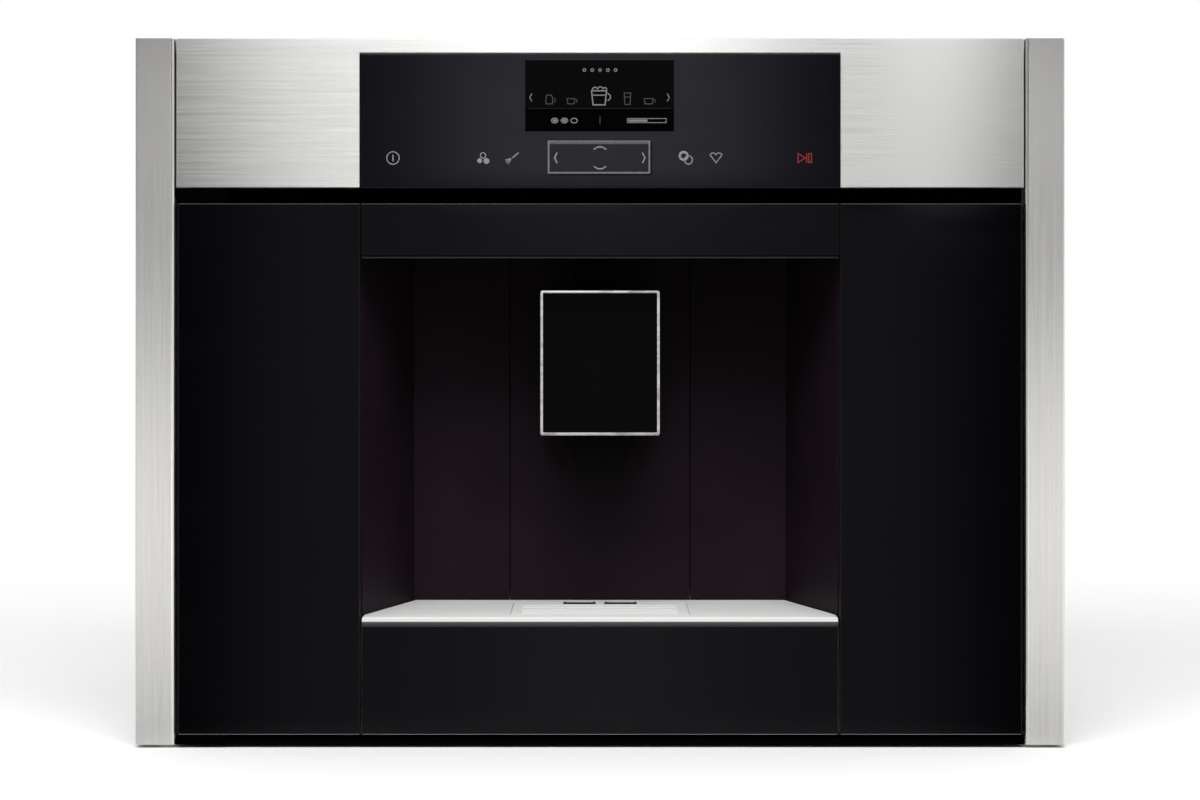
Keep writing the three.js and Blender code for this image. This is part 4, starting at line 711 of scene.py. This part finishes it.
# the touch keys in mm: how far right of the glass's middle each stands, and its sign round its own middle
hairTips = ((-4.4, -1.3), (-4.1, -2.4), (-3.4, -3.3), (-2.3, -3.9))
brushHairs = [("line", 0.42, [(0.0, 0.1), tip]) for tip in hairTips]
heartShape = arc((-1.95, 1.2), 2.05, 155, 20, 8) + arc((1.95, 1.2), 2.05, 160, 25, 8) + [(0.0, -3.1)]
keyLook = {
    "height": 378.2,
    "signs": {
        -132.7: [("loop", 0.62, arc((0, 0), 4.0, steps=28)), ("line", 0.77, [(0, -2.2), (0, 2.2)])],
        -75.0: [("loop", 0.6, arc((0, 1.7), 1.7, steps=16)), ("fill", 0, arc((-2.2, -1.7), 1.6, steps=14)),
                ("fill", 0, arc((2.2, -1.9), 1.9, steps=14))],
        -56.4: [("line", 0.75, [(0.2, 0.1), (4.3, 3.5)])] + brushHairs,
        55.1: [("loop", 1.5, arc((-1.5, 1.4), 2.5, steps=16))],
        74.4: [("loop", 0.62, heartShape)],
    },
    # the cups' second ring lies over the first
    "over": (55.1, 0.1, [("loop", 0.62, arc((1.6, -1.2), 2.5, steps=16, squash=1.1))]),
    "start": (131.2, [("loop", 0.75, [(-4.2, -2.9), (-4.2, 2.9), (0.2, 0.0)]),
                      ("line", 0.75, [(1.3, -3.1), (1.3, 3.1)]),
                      ("loop", 0.75, [(2.6, -2.8), (2.6, 2.8), (4.4, 2.8), (4.4, -2.8)])]),
}


def touchKeys(look):
    bm = bmesh.new()
    for x, rows in look["signs"].items():
        draw(bm, rows, glassFace, at=(x, look["height"]))
    x, thick, rows = look["over"]
    draw(bm, rows, glassFace, thick, (x, look["height"]))
    onGlass("touch_keys", bm, "printInk")
    bm = bmesh.new()
    x, rows = look["start"]
    draw(bm, rows, glassFace, at=(x, look["height"]))
    onGlass("start_key", bm, "litRed")


touchKeys(keyLook)

padLook = {"x": (-33.5, 32.2), "z": (368.2, 389.4), "side": 1.1, "rim": 0.8, "top": 2.3, "shadow": 1.3,
           "shadowInset": 1.2, "frameThick": 0.07, "barThick": 0.05, "shadowThick": 0.04}
# the arrows: sideTips are their distances from the frame's two ends, upTip from its middle
arrowLook = {"line": 0.8, "wide": 1.6, "tall": 3.4, "lower": 0.5, "sideTips": (4.4, 3.4), "upTip": 7.0,
             "reach": 4.0, "flat": 1.4}


def navigationPad(look, arrow):
    # a printed frame with four arrows, painted as a shallow recess: its lighter lines are bevels catching
    # light (painted highlight), its wider top bar is darker as the upper bevel's painted shade, and a painted
    # shadow line runs under it
    (x0, x1), (z0, z1) = look["x"], look["z"]
    side, rim, inset = look["side"], z1 - look["rim"], look["shadowInset"]
    half, away = side / 2, look["shadow"] / 2
    left, right, low, high = x0 + half, x1 - half, z0 + half, z1 - half
    bm = bmesh.new()
    stroke(bm, [(left, high), (left, low), (right, low), (right, high)], side, glassFace)
    prism(bm, oblong(x0, rim, x1, z1), glassFace, look["frameThick"])
    onGlass("navigation_frame", bm, "bevelLightInk")
    bm = bmesh.new()
    # the darker top bar: the upper bevel's painted shade
    prism(bm, oblong(x0 + side, z1 - look["top"], x1 - side, rim), glassFace, look["barThick"])
    onGlass("navigation_bar", bm, "bevelShadeInk")
    bm = bmesh.new()
    # the recess's painted shadow, under the frame and up its right side
    stroke(bm, [(x0 + inset, z0 - away), (x1 + away, z0 - away), (x1 + away, z1 - inset)], look["shadow"],
           glassFace, look["shadowThick"])
    onGlass("navigation_painted_shadow", bm, "blackInkAndShadow")

    bm = bmesh.new()
    middle, tall, line = (z0 + z1) / 2 - arrow["lower"], arrow["tall"], arrow["line"]
    for end, inward, turn in zip((x0, x1), arrow["sideTips"], (1, -1)):
        tip = end + turn * inward
        back = tip + turn * arrow["wide"]
        stroke(bm, [(back, middle + tall), (tip, middle), (back, middle - tall)], line, glassFace)
    reach, flat = arrow["reach"], arrow["flat"]
    for turn in (1, -1):
        tip = middle + turn * arrow["upTip"]
        back = tip - turn * arrow["wide"]
        stroke(bm, [(-reach, back), (-flat, tip), (flat, tip), (reach, back)], line, glassFace)
    onGlass("navigation_arrows", bm, "printInk")


navigationPad(padLook, arrowLook)


def cup(x, wide, tall, z=0.0, line=0.5):
    half, foot = wide / 2, wide / 2 * 0.8
    return ("loop", line, moved([(-half, tall), (-foot, 0), (foot, 0), (half, tall)], x, z))


def handle(x, z, radius, line=0.4, steps=8):
    return ("line", line, arc((x, z), radius, 80, -80, steps))


# what the display shows, in mm: heights of its rows, then the drinks round the middle of the shelf
rowZ = {"dots": 434.6, "chevrons": 417.0, "shelf": 412.9, "settings": 402.2}
pageDots = {"first": -10.0, "step": 5.0, "count": 5, "radius": 0.9, "line": 0.55, "lit": 1.25}
beans = {"first": -29.0, "step": 6.2, "count": 3, "full": 2, "radius": 2.1, "line": 0.6, "kernel": 1.3}
amountBar = {"frame": oblong(17.6, -1.3, 42.4, 1.3), "line": 0.45, "filled": oblong(18.3, -0.7, 30.4, 0.7)}
foam = arc((-3.2, 9.0), 1.7, 180, 0, 8) + arc((0.2, 9.2), 1.7, 160, 20, 8) + arc((3.0, 9.0), 1.4, 150, 0, 8)
jug = [(-1.7, 5.6), (-2.3, 3.2), (-2.3, 0), (2.0, 0), (2.0, 3.2), (1.4, 5.6)]
chosenDrink = [cup(-0.6, 9.6, 9.0, -0.6, 0.8), handle(4.4, 4.4, 2.3, 0.7, 10), ("line", 0.7, foam),
               ("line", 0.7, [(-4.4, 5.6), (3.2, 5.6)])]
otherDrinks = [("loop", 0.5, moved(jug, -32.4, 0)), handle(-29.9, 2.4, 1.3),
               cup(-18.6, 5.0, 3.4), handle(-15.7, 1.9, 1.0),
               cup(17.6, 4.2, 7.4, -0.4), ("line", 0.45, [(15.9, 4.4), (19.3, 4.4)]),
               cup(31.2, 5.8, 3.4), handle(34.4, 1.9, 1.0)]


def displaySigns(look):
    (x0, x1), (z0, z1) = look["x"], look["z"]
    bm = bmesh.new()
    prism(bm, oblong(x0, z0, x1, z1), glassFace, look["raise"])
    onGlass("display_window", bm, "displayWindow")

    face = glassFace - look["raise"]
    thick = 0.05
    rows = []
    for x, back in ((x0 + 3.0, 1.3), (x1 - 3.0, -1.3)):
        rows.append(("line", 0.5, moved([(back, 2.5), (0, 0), (back, -2.5)], x, rowZ["chevrons"])))
    # page dots over the drinks, the middle one lit
    for i in range(pageDots["count"]):
        dot = (pageDots["first"] + pageDots["step"] * i, rowZ["dots"])
        rows.append(("loop", pageDots["line"], arc(dot, pageDots["radius"], steps=12)))
    rows.append(("fill", 0, arc((0.0, rowZ["dots"]), pageDots["lit"], steps=14)))
    # what is set for the drink: strength as beans, two of them full, and the amount as a bar
    for i in range(beans["count"]):
        bean = (beans["first"] + beans["step"] * i, rowZ["settings"])
        rows.append(("loop", beans["line"], arc(bean, beans["radius"], steps=14, squash=0.72)))
        if i < beans["full"]:
            rows.append(("fill", 0, arc(bean, beans["kernel"], steps=12, squash=0.72)))
    rows.append(("loop", amountBar["line"], moved(amountBar["frame"], 0, rowZ["settings"])))
    rows.append(("fill", 0, moved(amountBar["filled"], 0, rowZ["settings"])))
    bm = bmesh.new()
    draw(bm, rows, face, thick)
    draw(bm, chosenDrink, face, thick, (0, rowZ["shelf"]))
    onGlass("display_signs", bm, "litWhite")

    bm = bmesh.new()
    draw(bm, otherDrinks, face, thick, (0, rowZ["shelf"]))
    stroke(bm, [(0.0, rowZ["settings"] - 2.4), (0.0, rowZ["settings"] + 2.8)], 0.4, face, thick)
    onGlass("display_signs_dim", bm, "litGrey")
    bm = bmesh.new()
    stroke(bm, [(x0 + 2.0, look["splitZ"]), (x1 - 2.0, look["splitZ"])], 0.3, face, thick)
    onGlass("display_divider", bm, "litFaint")


displaySigns(displayLook)
print("control glass printed")

screwLook = {"radius": 3.2, "height": 1.7, "recess": 1.5, "lobes": 0.14, "sides": 24}


def screwHead(bm, look, at, way):
    # a low pan head with a six-lobed recess, standing on a face that looks along way
    turned = Vector((0, 0, 1)).rotation_difference(Vector(way)).to_matrix()
    radius, height, recess, lobes = look["radius"], look["height"], look["recess"], look["lobes"]
    # size, lift and lobes of each ring, from the sheet up over the head and down into its recess
    profile = ((radius, -0.05, 0), (radius, height * 0.3, 0), (radius * 0.88, height * 0.74, 0),
               (radius * 0.62, height, 0), (recess, height, lobes), (recess * 0.94, height * 0.35, lobes))
    rings = []
    for size, lift, wave in profile:
        spots = []
        for i in range(look["sides"]):
            angle = 2 * math.pi * i / look["sides"]
            reach = size * (1 + wave * math.cos(6 * angle))
            spot = turned @ Vector((reach * math.cos(angle), reach * math.sin(angle), lift))
            spots.append(Vector(at) + spot)
        rings.append(ringOf(bm, spots))
    skin(bm, rings)


def screws(name, places, way, look=screwLook):
    bm = bmesh.new()
    for spot in places:
        screwHead(bm, look, spot, way)
    addPiece(name, bm, "housing", "zincSheet")


screwPlaces = {"inset": 8.0, "topMiddle": 5.0, "topAside": 90.0, "frameX": (160.2, 273.4),
               "rightZ": (11.0, 238.0, 341.0), "leftZ": (11.0, 84.0, 250.0)}


def housingScrews(look):
    inset = look["inset"]
    low, high = boxOf("rear_panel")
    xs = [low.x + inset, 0.0, high.x - inset]
    zs = [low.z + 3 * inset, (low.z + high.z) / 2, high.z - inset]
    screws("rear_screws", [(x, high.y, z) for x in xs for z in zs if x or z != zs[1]], (0, 1, 0))
    low, high = boxOf("top_cover")
    ys = [low.y + inset, look["topMiddle"], high.y - inset]
    top = [(x, y, high.z) for x in (low.x + inset, high.x - inset) for y in ys]
    top += [(x, y, high.z) for x in (-look["topAside"], look["topAside"]) for y in (ys[0], ys[2])]
    screws("top_screws", top, (0, 0, 1))
    for node, side in (("left_side_panel", -1), ("right_side_panel", 1)):
        low, high = boxOf(node)
        face = low.x if side < 0 else high.x
        spots = [(face, y, z) for y in (low.y + inset, high.y - inset)
                 for z in (low.z + 3 * inset, (low.z + high.z) / 2, high.z - 2 * inset)]
        screws(node.replace("panel", "screws"), spots, (side, 0, 0))
    face = boxOf("front_frame_right")[0].y
    right = [(x, face, z) for x in look["frameX"] for z in look["rightZ"]]
    left = [(-x, face, z) for x in look["frameX"] for z in look["leftZ"]]
    small = dict(screwLook, radius=2.6, height=1.2, recess=1.2)
    screws("front_frame_screws", right + left, (0, -1, 0), small)


housingScrews(screwPlaces)

# the soft buffers in mm; their profile gives radius and lift from the sheet to the tip
bufferLook = {"x": 269.3, "zs": (12.0, 244.0, 335.0), "sides": 20,
              "profile": ((3.4, 0.0), (3.4, 1.2), (2.72, 1.8), (1.36, 2.0))}


def doorBuffers(look):
    # soft stops on the closing side, which the door's rim meets
    face = boxOf("front_frame_right")[0].y
    turns = [2 * math.pi * i / look["sides"] for i in range(look["sides"])]
    bm = bmesh.new()
    for z in look["zs"]:
        rings = []
        for r, lift in look["profile"]:
            spots = [(look["x"] + r * math.cos(a), face - lift, z + r * math.sin(a)) for a in turns]
            rings.append(ringOf(bm, spots))
        skin(bm, rings)
    addPiece("door_buffers", bm, "housing", "softRubber")


doorBuffers(bufferLook)

# bar is half the middle bar's depth, end how far the two ends reach back, side how wide they are
linerLook = {"xs": (-13.8, 13.8), "width": 21.6, "bar": 1.15, "end": 4.7, "side": 1.6, "under": 1.2,
             "proud": 1.0, "fromBack": 9.0}


def gripLiners(look):
    # black inserts in the grate's two finger grips, which stand up a little
    low, high = boxOf("drip_grate")
    row = high.y - look["fromBack"]
    half, bar, end = look["width"] / 2, look["bar"], look["end"]
    inner = half - look["side"]
    outline = [(-half, -bar), (half, -bar), (half, end), (inner, end), (inner, bar), (-inner, bar),
               (-inner, end), (-half, end)]
    bm = bmesh.new()
    for x in look["xs"]:
        skin(bm, [ringOf(bm, [(x + px, row + py, z) for px, py in outline])
                  for z in (low.z - look["under"], high.z + look["proud"])])
    addPiece("grip_liners", bm, bodyOf["drip_grate"], "nicheShadePlastic")


gripLiners(linerLook)

curtainLook = {"half": 58.0, "from": 312.0, "to": 426.0, "pleats": 19, "deep": 2.2, "gauge": 0.5,
               "behind": 0.1}


def dustCurtain(look):
    # a pleated black curtain behind the slot that the outlet slides in
    start = boxOf("outlet_guide_panel")[1].y + look["behind"]
    half, gauge, count = look["half"], look["gauge"], 2 * look["pleats"]
    bm = bmesh.new()
    rings = []
    for i in range(count + 1):
        z = look["from"] + (look["to"] - look["from"]) * i / count
        y = start + (look["deep"] if i % 2 else 0.0)
        rings.append(ringOf(bm, [(-half, y, z), (half, y, z), (half, y + gauge, z), (-half, y + gauge, z)]))
    skin(bm, rings)
    addPiece("dust_curtain", bm, "housing", "softRubber", 20.0)


dustCurtain(curtainLook)


def faceOf(node, x, z):
    # how far forward the node's front lies at this place, in mm
    bm = bmesh.new()
    bm.from_mesh(cadNodes[node].data)
    spot = BVHTree.FromBMesh(bm).ray_cast(Vector((x, -400.0, z)) * mm, Vector((0, 1, 0)))[0]
    bm.free()
    return spot.y / mm


def middleOf(node):
    low, high = boxOf(node)
    return (low.x + high.x) / 2, (low.z + high.z) / 2


scaleLook = {"radius": 18.5, "dots": 9, "small": 0.55, "growth": 0.13, "from": 185.0, "turn": 190.0}


def grindScale(look):
    # growing dots round the grinding knob
    x, z = middleOf("grind_knob")
    face = boxOf("front_frame_left")[0].y
    bm = bmesh.new()
    for i in range(look["dots"]):
        angle = math.radians(look["from"] - look["turn"] * i / (look["dots"] - 1))
        spot = (x + look["radius"] * math.cos(angle), z + look["radius"] * math.sin(angle))
        prism(bm, arc(spot, look["small"] + look["growth"] * i, steps=14), face, 0.05)
    addPiece("grind_scale", bm, "housing", "printInk")


grindScale(scaleLook)

levelLook = {"x": 252.0, "zs": (45, 58, 71, 84, 97, 110, 123), "short": 5.0, "long": 10.0, "line": 0.8}


def tankLevels(look):
    # level lines on the tank, every third one long
    x = look["x"]
    bm = bmesh.new()
    for i, z in enumerate(look["zs"]):
        half = (look["short"] if i % 3 else look["long"]) / 2
        stroke(bm, [(x - half, z), (x + half, z)], look["line"], faceOf("water_tank", x, z), 0.05)
    addPiece("tank_level_lines", bm, bodyOf["water_tank"], "blackInkAndShadow")


tankLevels(levelLook)

markLook = {"aside": 5.6, "size": 1.9, "line": 0.6, "proudOff": 0.25}


def switchMarks(look):
    # a bar for on, and a ring for off on the end of the rocker that stands lower
    x, z = middleOf("main_switch")
    on, off, size, line = x - look["aside"], x + look["aside"], look["size"], look["line"]
    bm = bmesh.new()
    stroke(bm, [(on, z - size), (on, z + size)], line, faceOf("main_switch", on, z))
    stroke(bm, arc((off, z), size), line, faceOf("main_switch", off, z), look["proudOff"], closed=True)
    addPiece("switch_marks", bm, bodyOf["main_switch"], "printInk")


switchMarks(markLook)
print("small parts fitted")


# camera, at the photograph's place

cameraLook = {"distance": 2.025, "height": 0.2686, "frontWidth": 0.7692, "shiftUp": -0.0592, "sensor": 36.0}
lens = bpy.data.cameras.new("camera")
lens.sensor_width = cameraLook["sensor"]
lens.lens = cameraLook["sensor"] * cameraLook["distance"] / cameraLook["frontWidth"]
lens.shift_y = cameraLook["shiftUp"]
camera = bpy.data.objects.new("camera", lens)
camera.location = (0, cadBox[0].y - cameraLook["distance"], cameraLook["height"])
camera.rotation_euler = (math.radians(90), 0, 0)
scene.collection.objects.link(camera)
scene.camera = camera


# floor, lamps and the white room

# fade is where the camera sees the floor run out, clear is where everything else does, in metres
floorLook = {"colour": (0.84, 0.84, 0.835), "radius": 1.5, "fade": (0.55, 1.4), "clear": (0.24, 0.42),
             "sides": 96, "speckle": 60.0, "tints": (0.985, 1.01)}


def makeFloor(look):
    # a round pale floor that runs out into the white background
    bm = bmesh.new()
    bmesh.ops.create_circle(bm, cap_ends=True, radius=look["radius"], segments=look["sides"])
    mesh = bpy.data.meshes.new("floor")
    bm.to_mesh(mesh)
    bm.free()
    floor = bpy.data.objects.new("floor", mesh)
    scene.collection.objects.link(floor)
    finish, tree, shader = newFinish("floor")
    dark, light = [tinted(look["colour"], tint) for tint in look["tints"]]
    speckle = noise(tree, place(tree), look["speckle"], 3.0)
    feed(tree, shader.inputs["Base Color"], blendColours(tree, speckle, dark, light))
    fixed(shader, Roughness=0.8, Specular_IOR_Level=0.2)
    far = vectors(tree, "LENGTH", place(tree))["Value"]
    path = step(tree, "ShaderNodeLightPath").outputs["Is Camera Ray"]
    white = step(tree, "ShaderNodeEmission", {"Color": (1, 1, 1, 1), "Strength": 1.0})
    away = step(tree, "ShaderNodeMixShader", {"Fac": path})
    feed(tree, away.inputs[1], step(tree, "ShaderNodeBsdfTransparent").outputs[0])
    feed(tree, away.inputs[2], white.outputs[0])
    amount = between(tree, path, ramp(tree, far, *look["clear"]), ramp(tree, far, *look["fade"]))
    mix = step(tree, "ShaderNodeMixShader", {"Fac": amount})
    feed(tree, mix.inputs[1], shader.outputs[0])
    feed(tree, mix.inputs[2], away.outputs[0])
    feed(tree, tree.nodes["Material Output"].inputs["Surface"], mix.outputs[0])
    mesh.materials.append(finish)


makeFloor(floorLook)

lamps = {
    "keyLeft": {"at": (-2.2, -1.2, 1.9), "size": (1.4, 1.4), "watts": 10.0, "mirrored": True},
    "fillRight": {"at": (2.3, -0.8, 1.5), "size": (1.4, 1.6), "watts": 8.0, "mirrored": True},
    "front": {"at": (0.0, -1.75, 1.85), "size": (1.6, 1.0), "watts": 52.0, "mirrored": False},
    "overhead": {"at": (0.0, 0.1, 2.4), "size": (2.2, 1.4), "watts": 6.0, "mirrored": False},
    "behind": {"at": (-0.6, 2.6, 1.4), "size": (1.8, 1.4), "watts": 14.0, "mirrored": True},
}
lampAim = Vector((0, 0, 0.2))
for label, lamp in lamps.items():
    data = bpy.data.lights.new(label, "AREA")
    data.shape = "RECTANGLE"
    data.size, data.size_y = lamp["size"]
    data.energy = lamp["watts"]
    light = bpy.data.objects.new(label, data)
    light.location = lamp["at"]
    light.rotation_euler = (lampAim - Vector(lamp["at"])).to_track_quat("-Z", "Y").to_euler()
    light.visible_glossy = lamp["mirrored"]     # metal and glass mirror the room below instead
    scene.collection.objects.link(light)

# angles in degrees round the way the front faces: across is to the right, up is above the horizon
roomLook = {
    "level": 0.47,
    "card": {"across": 9.0, "low": -11.0, "high": 5.0, "soft": 2.5, "dark": 0.02},
    "screens": {"across": 31.0, "soft": 14.0, "lit": 1.92, "up": -3.7, "width": 4.2, "over": (22, 38)},
    "leftWall": {"across": -54.0, "width": 17.0, "depth": 0.75},
    "sheen": {"across": 5.0, "soft": 3.0, "level": 0.55, "middle": 0.45, "middleWidth": 2.5},
    "gap": {"across": 4.95, "width": 0.55, "depth": 0.85},
    "strip": {"across": 6.2, "width": 0.75, "level": 1.5, "low": 1.8, "high": 8.0, "soft": 0.8},
    "glow": {"across": 1.5, "soft": 2.9, "from": 2.3, "to": 3.0, "level": 1.6},
    "box": {"across": 5.9, "soft": 3.2, "low": 11.0, "high": 38.0, "rise": 2.5, "level": 2.95},
    "dip": {"across": 4.4, "width": 1.4, "depth": 0.95},
    "band": {"across": 6.0, "width": 0.8, "level": 1.8},
}


def makeRoom(look):
    world = bpy.data.worlds.new("room")
    scene.world = world
    world.use_nodes = True
    tree = world.node_tree
    background = tree.nodes["Background"]
    heading = xyz(tree, step(tree, "ShaderNodeTexCoord").outputs["Generated"])
    turn = sums(tree, "ARCTAN2", heading["X"], times(tree, heading["Y"], -1.0))
    across = times(tree, turn, math.degrees(1))
    up = times(tree, sums(tree, "ARCSINE", heading["Z"]), math.degrees(1))
    aside = sums(tree, "ABSOLUTE", across)

    def bell(value, centre, width):
        share = sums(tree, "DIVIDE", sums(tree, "SUBTRACT", value, centre), width)
        return sums(tree, "POWER", math.e, times(tree, share, share, -1.0))

    def within(value, edge, soft):
        return ramp(tree, value, edge + soft, edge)

    def litBand(row, *more):
        # an upright band of light at its own level
        return times(tree, bell(across, row["across"], row["width"]), row["level"], *more)

    def dimmed(light, row, *more):
        # the light with an upright band taken out of it
        lost = times(tree, bell(across, row["across"], row["width"]), row["depth"], *more)
        return times(tree, light, sums(tree, "SUBTRACT", 1.0, lost))

    # a black card behind the camera, which the glass reflects
    card = look["card"]
    dark = times(tree, within(aside, card["across"], card["soft"]), within(up, card["high"], card["soft"]),
                 ramp(tree, up, card["low"] - card["soft"], card["low"]))
    # dark screens beside it, lit low down, which give the trims their run of tones
    screens = look["screens"]
    tone = plus(tree, times(tree, bell(up, screens["up"], screens["width"]), screens["lit"]),
                ramp(tree, up, *screens["over"]))
    shade = between(tree, within(aside, screens["across"], screens["soft"]), 1.0, tone)
    # the darker wall to the left, mirrored by the right trim's rounded corner
    shade = dimmed(shade, look["leftWall"])
    # a sheen over the card, stronger in the middle
    sheen = look["sheen"]
    veil = plus(tree, times(tree, within(aside, sheen["across"], sheen["soft"]), sheen["level"]),
                times(tree, bell(across, 0.0, sheen["middleWidth"]), sheen["middle"]))
    # a slim bright strip to the right, with a darker gap inside it, which only the fascia's height mirrors
    strip = look["strip"]
    rows = times(tree, ramp(tree, up, strip["low"], strip["low"] + strip["soft"]),
                 within(up, strip["high"], strip["soft"]))
    veil = dimmed(veil, look["gap"], rows)
    # a glow over the control glass
    glow = look["glow"]
    lift = times(tree, within(aside, glow["across"], glow["soft"]), ramp(tree, up, glow["from"], glow["to"]),
                 glow["level"])
    # the softbox above the camera, with a dip and a brighter band to the right
    box = look["box"]
    tall = times(tree, ramp(tree, up, box["low"] - box["rise"], box["low"]),
                 within(up, box["high"], box["rise"]))
    soft = times(tree, within(aside, box["across"], box["soft"]), tall, box["level"])
    soft = plus(tree, dimmed(soft, look["dip"]), litBand(look["band"], tall))
    front = plus(tree, times(tree, dark, plus(tree, veil, lift, card["dark"])), soft, litBand(strip, rows))

    path = step(tree, "ShaderNodeLightPath").outputs
    white = between(tree, path["Is Glossy Ray"], look["level"], shade)
    lit = plus(tree, times(tree, sums(tree, "SUBTRACT", 1.0, dark), white), front)
    seen = sums(tree, "MAXIMUM", path["Is Camera Ray"], path["Is Transmission Ray"])
    background.inputs["Color"].default_value = (1, 1, 1, 1)
    feed(tree, background.inputs["Strength"], between(tree, seen, lit, 1.0))


makeRoom(roomLook)
scene.view_settings.view_transform = "Standard"
print("camera, floor and lights set")
